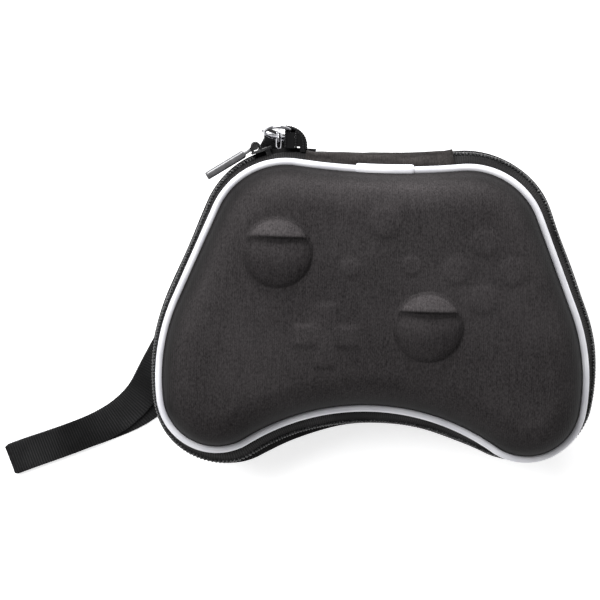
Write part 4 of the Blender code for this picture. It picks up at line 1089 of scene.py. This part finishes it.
def tab_ply(name, left, foot, height, root, rows):
    """One ribbed ply of the folded tab: up at its heel, over, and arched down to its foot."""
    corners = [(left, root + height * share) for share in np.linspace(0.0, 0.93, 16)]
    for index in range(40):
        turn = math.pi / 2 * index / 39
        corners.append((left + foot * math.sin(turn), root + height * math.cos(turn) ** 0.8))
    path = np.array(corners)
    run = np.concatenate([[0.0], np.cumsum(np.hypot(*np.diff(path, axis=0).T))])
    even = np.linspace(0.0, run[-1], rows)
    path = np.stack([np.interp(even, run, path[:, 0]), np.interp(even, run, path[:, 1])], axis=1)
    for _ in range(6):
        path[1:-1] = (path[:-2] + 2 * path[1:-1] + path[2:]) / 4
    ahead = np.gradient(path, axis=0)
    ahead /= np.hypot(*ahead.T)[:, None]
    inward = np.stack([ahead[:, 1], -ahead[:, 0]], axis=1)
    ribs = TAB_RIB * np.cos(2 * math.pi * even / RIB_PITCH)
    half = TAB_WIDTH / 2
    columns = ((-1.0, 0.15), (-0.97, 0.0), (-0.6, 0.0), (0.0, 0.0), (0.6, 0.0), (0.97, 0.0), (1.0, 0.15),
               (1.0, 0.85), (0.97, 1.0), (0.6, 1.0), (0.0, 1.0), (-0.6, 1.0), (-0.97, 1.0), (-1.0, 0.85))
    grid = np.empty((rows, len(columns), 3))
    for column, (across, depth) in enumerate(columns):
        swell = ribs * (1 - 2 * depth) if abs(across) < 0.99 else 0 * ribs
        grid[:, column, :2] = path + inward * (TAB_THICKNESS * 0.94 * depth - swell)[:, None]
        grid[:, column, 2] = MID_Z + half * across
    widths = np.array([0.0, 0.1, 1.3, 3.2, 5.1, 6.3, 6.4,
                       6.7, 7.0, 8.0, 10.0, 12.0, 13.1, 13.3, 13.6]) * 0.001
    return lattice(name, grid, even, widths, caps=True)


def stacked(name, outlines, levels):
    """Blocks in one mesh: each outline in x and y is drawn out between its own two levels."""
    vertices = []
    faces = []
    for outline, pair in zip(outlines, levels):
        start = len(vertices)
        count = len(outline)
        vertices += [(x, y, level) for level in pair for x, y in outline]
        faces += [range(start, start + count), range(start + count, start + 2 * count)]
        for i in range(count):
            j = (i + 1) % count
            faces.append((start + i, start + j, start + count + j, start + count + i))
    return mesh_object(name, vertices, faces)


def add_tab_core(heel, slot_start, slot_end, ring_at, lean):
    """The pressed plies inside the tab: one block past the ring, and leaves that follow the ring's slope."""
    inset = TAB_THICKNESS * 0.6
    half = TAB_WIDTH / 2 * 0.93

    def arch(x):
        share = min(max((x - heel.x) / TAB_FOOT, 0.0), 1.0)
        return heel.y + (TAB_HEIGHT - inset) * math.cos(math.asin(share)) ** 0.8

    def block(start, end, low, high=None):
        places = np.linspace(start, end, 14)
        upper = [(x, max((arch(x) - inset * 0.5) if high is None else high, low + 0.0001)) for x in places]
        return upper + [(end, low), (start, low)]

    notch = heel.y + NOTCH_HEIGHT
    sewn = heel.y - PANEL_THICKNESS
    outlines = [block(slot_end + 0.00002, heel.x + TAB_FOOT - inset, notch),
                block(heel.x + TAB_FOOT * NOTCH_END, FIT_GAP - PANEL_HALF_LENGTH, sewn, notch)]
    levels = [(MID_Z - half, MID_Z + half)] * 2
    leaf = 2 * half / TAB_LEAVES
    slope = lean.y / lean.z
    room = RING_WIRE / lean.z + FIT_GAP / 2 + leaf / 2 * slope
    for number in range(TAB_LEAVES):
        low = -half + leaf * number
        middle = ring_at.y + (low + leaf / 2) * slope
        outlines.append(block(slot_start - 0.0003, slot_end, middle + room))
        outlines.append(block(slot_start - 0.0003, slot_end, heel.y + NOTCH_HEIGHT * 0.2, middle - room))
        levels += [(MID_Z + low, MID_Z + (low + leaf))] * 2
    finish_piece(stacked("tab_core", outlines, levels), "webbing", "base")


def add_tab_and_ring():
    """Webbing folded over a ring and sewn on at the panel's end, its plies pressed past the ring."""
    heel_x = -PANEL_HALF_LENGTH - TAB_FOOT + TAB_THICKNESS
    heel = Vector((heel_x, band_top(heel_x - RING_RADIUS, -PANEL_HALF_LENGTH) + FIT_GAP))
    lean = Vector((0.0, math.cos(RING_TILT), math.sin(RING_TILT)))
    half_turn = math.asin(min(TAB_WIDTH / 2 / (RING_RADIUS * lean.z), 1.0))
    bow = RING_RADIUS * (1 - math.cos(half_turn))
    slot_start = heel.x + TAB_THICKNESS
    slot_end = slot_start + 2 * (FIT_GAP + RING_WIRE) + bow
    threaded = Vector((slot_start + FIT_GAP + RING_WIRE + bow, heel.y + TAB_HEIGHT * RING_SEAT, MID_Z))
    root = heel.y + NOTCH_HEIGHT * 0.3
    outer = tab_ply("ring_tab", heel.x, TAB_FOOT, TAB_HEIGHT + heel.y - root, root, 120)
    finish_piece(outer, "webbing", "base", ("ring_tab",))
    add_tab_core(heel, slot_start, slot_end, threaded, lean)
    for number in range(1, 4):
        inset = TAB_THICKNESS * 1.02 * number
        left = slot_end + inset - TAB_THICKNESS
        height = TAB_HEIGHT * math.sqrt(1 - ((left - heel.x) / TAB_FOOT) ** 2) - inset * 1.1
        foot = heel.x + TAB_FOOT - inset - left
        if min(foot, height) > 2 * TAB_THICKNESS:
            ply = tab_ply(f"tab_ply_{number}", left, foot, height, root, 70)
            finish_piece(ply, "webbing", "base")

    centre = threaded - Vector((RING_RADIUS, 0, 0))
    turns = np.linspace(0.0, 2 * math.pi, 120, endpoint=False)
    path = [centre + (Vector((1, 0, 0)) * math.cos(t) + lean * math.sin(t)) * RING_RADIUS for t in turns]
    ring = tube_mesh("strap_ring", path, RING_WIRE, 18, closed=True)
    finish_piece(ring, "chrome", "base", ("strap_ring",))
    return centre - lean * RING_RADIUS


def add_hook(hung_on):
    drop = CLAW_RADIUS - HOOK_WIRE - RING_WIRE - FIT_GAP
    centre = hung_on - Vector((0, 0, drop))
    place = Matrix.Translation(centre)

    def on_claw(degrees, radius):
        turn = math.radians(degrees)
        return np.array((0.0, radius * math.cos(turn), radius * math.sin(turn)))

    start = GATE_FOOT - GATE_CLEARANCE
    shares = np.linspace(0.0, 1.0, 90)
    thin = np.clip((shares - NOSE_TAPER) / (1 - NOSE_TAPER), 0.0, 1.0)
    radii = HOOK_WIRE - (HOOK_WIRE - NOSE_RADIUS) * thin
    path = [on_claw(start + (NOSE_TIP - 360.0 - start) * share, CLAW_RADIUS + HOOK_WIRE - radius)
            for share, radius in zip(shares, radii)]
    claw = placed(tube_mesh("hook_claw", path, radii, 20), place)
    finish_piece(claw, "chrome", "base", ("hook_claw",), smooth_angle=50.0)
    top = -CLAW_RADIUS - HOOK_WIRE * 0.5
    bottom = -CLAW_RADIUS - HOOK_SHANK
    wide = BARREL_RADIUS
    profile = [(0.1 * wide, top), (0.62 * wide, top), (0.74 * wide, top - 0.0002),
               (0.78 * wide, top - 0.0008), (0.9 * wide, top - 0.0010), (0.94 * wide, top - 0.0014),
               (0.86 * wide, top - 0.0016), (0.86 * wide, top - 0.0019), (0.97 * wide, top - 0.0021),
               (wide, bottom + 0.0004), (0.93 * wide, bottom), (0.62 * wide, bottom),
               (0.58 * wide, bottom + 0.0003)]
    barrel = placed(turned("hook_barrel", profile), place)
    finish_piece(barrel, "chrome", "base", smooth_angle=35.0)

    foot = on_claw(GATE_FOOT, CLAW_RADIUS)
    gate_shares = np.linspace(0.0, 1.0, 24)
    gate_radii = GATE_RADIUS - (GATE_RADIUS - GATE_TIP_RADIUS) * gate_shares ** 2
    path = [on_claw(GATE_FOOT + (GATE_TIP - GATE_FOOT) * share, CLAW_RADIUS - GATE_RADIUS + radius)
            for share, radius in zip(gate_shares, gate_radii)]
    gate = placed(tube_mesh("hook_gate", path, gate_radii, 16), place)
    finish_piece(gate, "chrome", "gate", ("hook_gate",), smooth_angle=50.0)
    pin = [foot + np.array((across, 0.0, 0.0)) for across in GATE_PIN]
    finish_piece(placed(tube_mesh("gate_pin", pin, GATE_PIN_RADIUS, 14), place), "chrome", "base")

    heading = (STRAP_ROUTE[2] - hung_on).to_2d().normalized()
    eye_place = (Matrix.Translation(centre + Vector((0, 0, bottom - FIT_GAP)))
                 @ Matrix.Rotation(math.atan2(heading.x, -heading.y), 4, "Z"))
    shoulder = EYE_HEIGHT * 0.35
    loop = [(0, 0, -EYE_WIRE), (EYE_HALF_WIDTH * 0.5, 0, -EYE_WIRE),
            (EYE_HALF_WIDTH * 0.92, 0, -EYE_WIRE - shoulder * 0.6),
            (EYE_HALF_WIDTH, 0, -EYE_WIRE - shoulder),
            (EYE_HALF_WIDTH, 0, -EYE_HEIGHT - EYE_WIRE * 0.4),
            (EYE_HALF_WIDTH - EYE_WIRE, 0, -EYE_HEIGHT - EYE_WIRE)]
    loop += [(-x, 0, z) for x, _, z in reversed(loop[1:])]
    smooth = np.array(loop)
    for _ in range(3):
        ahead = np.roll(smooth, -1, axis=0)
        cut = [smooth * 0.75 + ahead * 0.25, smooth * 0.25 + ahead * 0.75]
        smooth = np.stack(cut, axis=1).reshape(-1, 3)
    eye = placed(tube_mesh("hook_eye", smooth, EYE_WIRE, 16, closed=True), eye_place)
    finish_piece(eye, "chrome", "base", ("hook_eye",))
    stem = turned("eye_stem", [(0.0002, 0.0020), (SWIVEL_RADIUS, 0.0018), (SWIVEL_RADIUS, 0.0002),
                               (0.0011, 0.0), (0.0012, -0.0003), (0.0008, -0.0012), (0.0002, -0.0014)], 24)
    finish_piece(placed(stem, eye_place), "chrome", "base")
    return centre + Vector((0, 0, bottom - FIT_GAP - EYE_HEIGHT - EYE_WIRE))


# Wrist strap

def curve_through(points, steps):
    """Points along a smooth curve through the given ones."""
    result = []
    last = len(points) - 1
    for i in range(last):
        p0, p1, p2, p3 = points[max(i - 1, 0)], points[i], points[i + 1], points[min(i + 2, last)]
        for step in range(steps):
            t = step / steps
            result.append(0.5 * ((2 * p1) + (p2 - p0) * t + (2 * p0 - 5 * p1 + 4 * p2 - p3) * t ** 2
                                 + (3 * p1 - p0 - 3 * p2 + p3) * t ** 3))
    result.append(points[last])
    return result


def strap_stations(bar):
    """(centre, side, up, distance) along the route of the doubled strap, from the eye's bar."""
    coarse = curve_through([bar] + STRAP_ROUTE, 3)
    for point in coarse:
        point.z = max(point.z, STRAP_THICKNESS + STRAP_PLY_GAP / 2)
    stations = []
    travelled = 0.0
    last = len(coarse) - 1
    for i, point in enumerate(coarse):
        tangent = (coarse[min(i + 1, last)] - coarse[max(i - 1, 0)]).normalized()
        wide = coarse[min(max(i + 3, 9), last)] - coarse[max(i - 3, 0)]
        side = Vector((-wide.y, wide.x, 0.0)).normalized()
        up = tangent.cross(side).normalized()
        if i:
            travelled += (point - coarse[i - 1]).length
        stations.append((*point, *side, *up, travelled))
    return np.array(stations)


def add_strap(bar):
    """Ribbed webbing: both plies, the fold at the far end and the turn round the hook's eye."""
    stations = strap_stations(bar)
    half_gap = (STRAP_THICKNESS + STRAP_PLY_GAP) / 2
    bar_turn = EYE_WIRE + FIT_GAP + STRAP_THICKNESS / 2
    centre, side, up, distance = stations[:, 0:3], stations[:, 3:6], stations[:, 6:9], stations[:, 9]
    width = STRAP_NECK_WIDTH + (STRAP_WIDTH - STRAP_NECK_WIDTH) * np.clip(distance / STRAP_NECK, 0.0, 1.0)
    near = np.clip(1.0 - distance / STRAP_NECK, 0.0, 1.0)
    lift = half_gap + (bar_turn - half_gap) * near ** 2
    fan = STRAP_FAN * np.exp(-((distance - STRAP_FAN_AT) / STRAP_FAN_SPREAD) ** 2)
    upper = (centre + up * lift[:, None], side, up, width)
    lower = (centre - up * lift[:, None] + side * fan[:, None], side, -up, width)

    def turn_round(index, radius, direction):
        tangent = np.cross(side[index], up[index])
        angles = [math.pi * step / FOLD_STEPS for step in range(1, FOLD_STEPS)]
        outward = np.array([up[index] * math.cos(a) + tangent * math.sin(a) * direction for a in angles])
        count = len(angles)
        sides = np.tile(side[index], (count, 1))
        return centre[index] + outward * radius, sides, outward, np.full(count, width[index])

    fold = turn_round(-1, half_gap, 1)
    eye_turn = turn_round(0, bar_turn, -1)
    parts = [upper, fold, tuple(part[::-1] for part in lower), tuple(part[::-1] for part in eye_turn)]
    columns = [np.concatenate([part[k] for part in parts] + [parts[0][k][:1]]) for k in range(4)]
    middle, sides, normals, widths = columns
    run = np.concatenate([[0.0], np.cumsum(np.linalg.norm(np.diff(middle, axis=0), axis=1))])
    rows = int(run[-1] / RIB_PITCH) * 6
    even = np.linspace(0.0, run[-1], rows, endpoint=False)

    def finer(values):
        flat = values.reshape(len(run), -1)
        return np.stack([np.interp(even, run, flat[:, k]) for k in range(flat.shape[1])], axis=1)

    middle, sides, normals, widths = finer(middle), finer(sides), finer(normals), finer(widths)[:, 0]
    sides /= np.linalg.norm(sides, axis=1)[:, None]
    normals /= np.linalg.norm(normals, axis=1)[:, None]
    rib = np.cos(2 * math.pi * even / RIB_PITCH)
    across = np.array([-1.0, -0.97, -0.90, -0.6, -0.2, 0.2, 0.6, 0.90, 0.97, 1.0,
                       1.0, 0.97, 0.90, 0.6, 0.2, -0.2, -0.6, -0.90, -0.97, -1.0])
    face = np.array([-0.6, -0.95, -1.0, -0.88, -0.88, -0.88, -0.88, -1.0, -0.95, -0.6,
                     0.6, 0.95, 1.0, 0.88, 0.88, 0.88, 0.88, 1.0, 0.95, 0.6])
    ribbed = np.where(np.abs(across) < 0.95, np.sign(face), 0.0)
    depth = face[None, :] * STRAP_THICKNESS / 2 * 0.93 + rib[:, None] * ribbed[None, :] * RIB_DEPTH / 2
    fold_at = run[len(upper[0]) + 1]
    edge = 1.0 + 0.006 * rib - 0.10 * np.exp(-((even - fold_at) / 0.0011) ** 2)
    out = across[None, :] * (widths * edge)[:, None] / 2
    grid = middle[:, None, :] + sides[:, None, :] * out[..., None] + normals[:, None, :] * depth[..., None]
    turn = 2 * math.pi * (STRAP_ROLL_FROM - middle[:, 0]) / STRAP_ROLL_SPAN
    roll = STRAP_ROLL * (1 - np.cos(np.clip(turn, 0.0, 2 * math.pi))) / 2
    grid[..., 2] += (roll * widths / 2)[:, None] * (1 - across)[None, :]
    grid[..., 2] = np.maximum(grid[..., 2], 0.00005)
    around = np.concatenate([[0.0], np.cumsum(np.abs(np.diff(across)) * STRAP_WIDTH / 2 + 0.0001),
                             [2 * STRAP_WIDTH + 0.002]])
    strap = lattice("wrist_strap", grid, np.concatenate([even, [run[-1]]]), around, closed_along=True)
    finish_piece(strap, "webbing", "base", ("wrist_strap",), smooth_angle=75.0)


# Light, floor and camera

def stage_object(name, data):
    item = bpy.data.objects.new(name, data)
    bpy.context.collection.objects.link(item)
    return item


def add_area_light(name, place, size, power):
    lamp = bpy.data.lights.new(name, "AREA")
    lamp.shape = "RECTANGLE"
    lamp.size, lamp.size_y = size
    lamp.energy = power
    item = stage_object(name, lamp)
    item.location = place
    item.rotation_euler = (LIT_SPOT - Vector(place)).to_track_quat("-Z", "Y").to_euler()


def add_camera():
    back = Vector((0.0, math.sin(CAMERA_TILT), math.cos(CAMERA_TILT)))
    right = Vector((math.cos(CAMERA_ROLL), math.sin(CAMERA_ROLL), 0.0))
    right = (right - back * right.dot(back)).normalized()
    up = back.cross(right)
    camera = bpy.data.cameras.new("camera")
    camera.lens = CAMERA_LENS
    camera.sensor_width = CAMERA_SENSOR
    camera.clip_start = 0.05
    camera.clip_end = 20.0
    item = bpy.data.objects.new("camera", camera)
    turn = Matrix((right, up, back)).transposed().to_4x4()
    item.matrix_world = Matrix.Translation(CAMERA_PLACE) @ turn
    bpy.context.collection.objects.link(item)
    bpy.context.scene.camera = item


def add_studio():
    look = Look("studio floor")
    cloud = look.noise(look.spot(), 3.0, 2.0)
    mesh = bpy.data.meshes.new("studio_floor")
    corners = [(FLOOR_REACH * x, FLOOR_REACH * y, 0) for x, y in ((-1, -1), (1, -1), (1, 1), (-1, 1))]
    mesh.from_pydata(corners, [], [range(4)])
    mesh.materials.append(look.finish({
        "Base Color": look.ramp(cloud, (0.90, 0.90, 0.91), (0.93, 0.93, 0.93)), "Roughness": 0.9,
        "Specular IOR Level": 0.1, "Emission Color": (1.0, 1.0, 1.0, 1.0), "Emission Strength": FLOOR_GLOW}))
    stage_object("studio_floor", mesh)
    for light in LIGHTS:
        add_area_light(*light)
    world = bpy.data.worlds.new("studio")
    world.use_nodes = True
    background = world.node_tree.nodes["Background"]
    background.inputs["Color"].default_value = (1.0, 1.0, 1.0, 1.0)
    background.inputs["Strength"].default_value = SKY_STRENGTH
    bpy.context.scene.world = world
    bpy.context.scene.view_settings.view_transform = "Standard"


def main():
    for side, outside, level, body in HALVES:
        add_shell(side + "_shell", outside, level, body)
    for side, outside, level, body in HALVES:
        add_piping(side, level, body)
        add_sleeve(side, outside, level, body)
        add_binding(side, outside, level, body)
    for side, outside, _, body in HALVES:
        add_half_of_band(side, outside, body)
    add_panel()
    add_slider()
    hung_on = add_tab_and_ring()
    bar = add_hook(hung_on)
    add_strap(bar)
    add_studio()
    add_camera()


main()
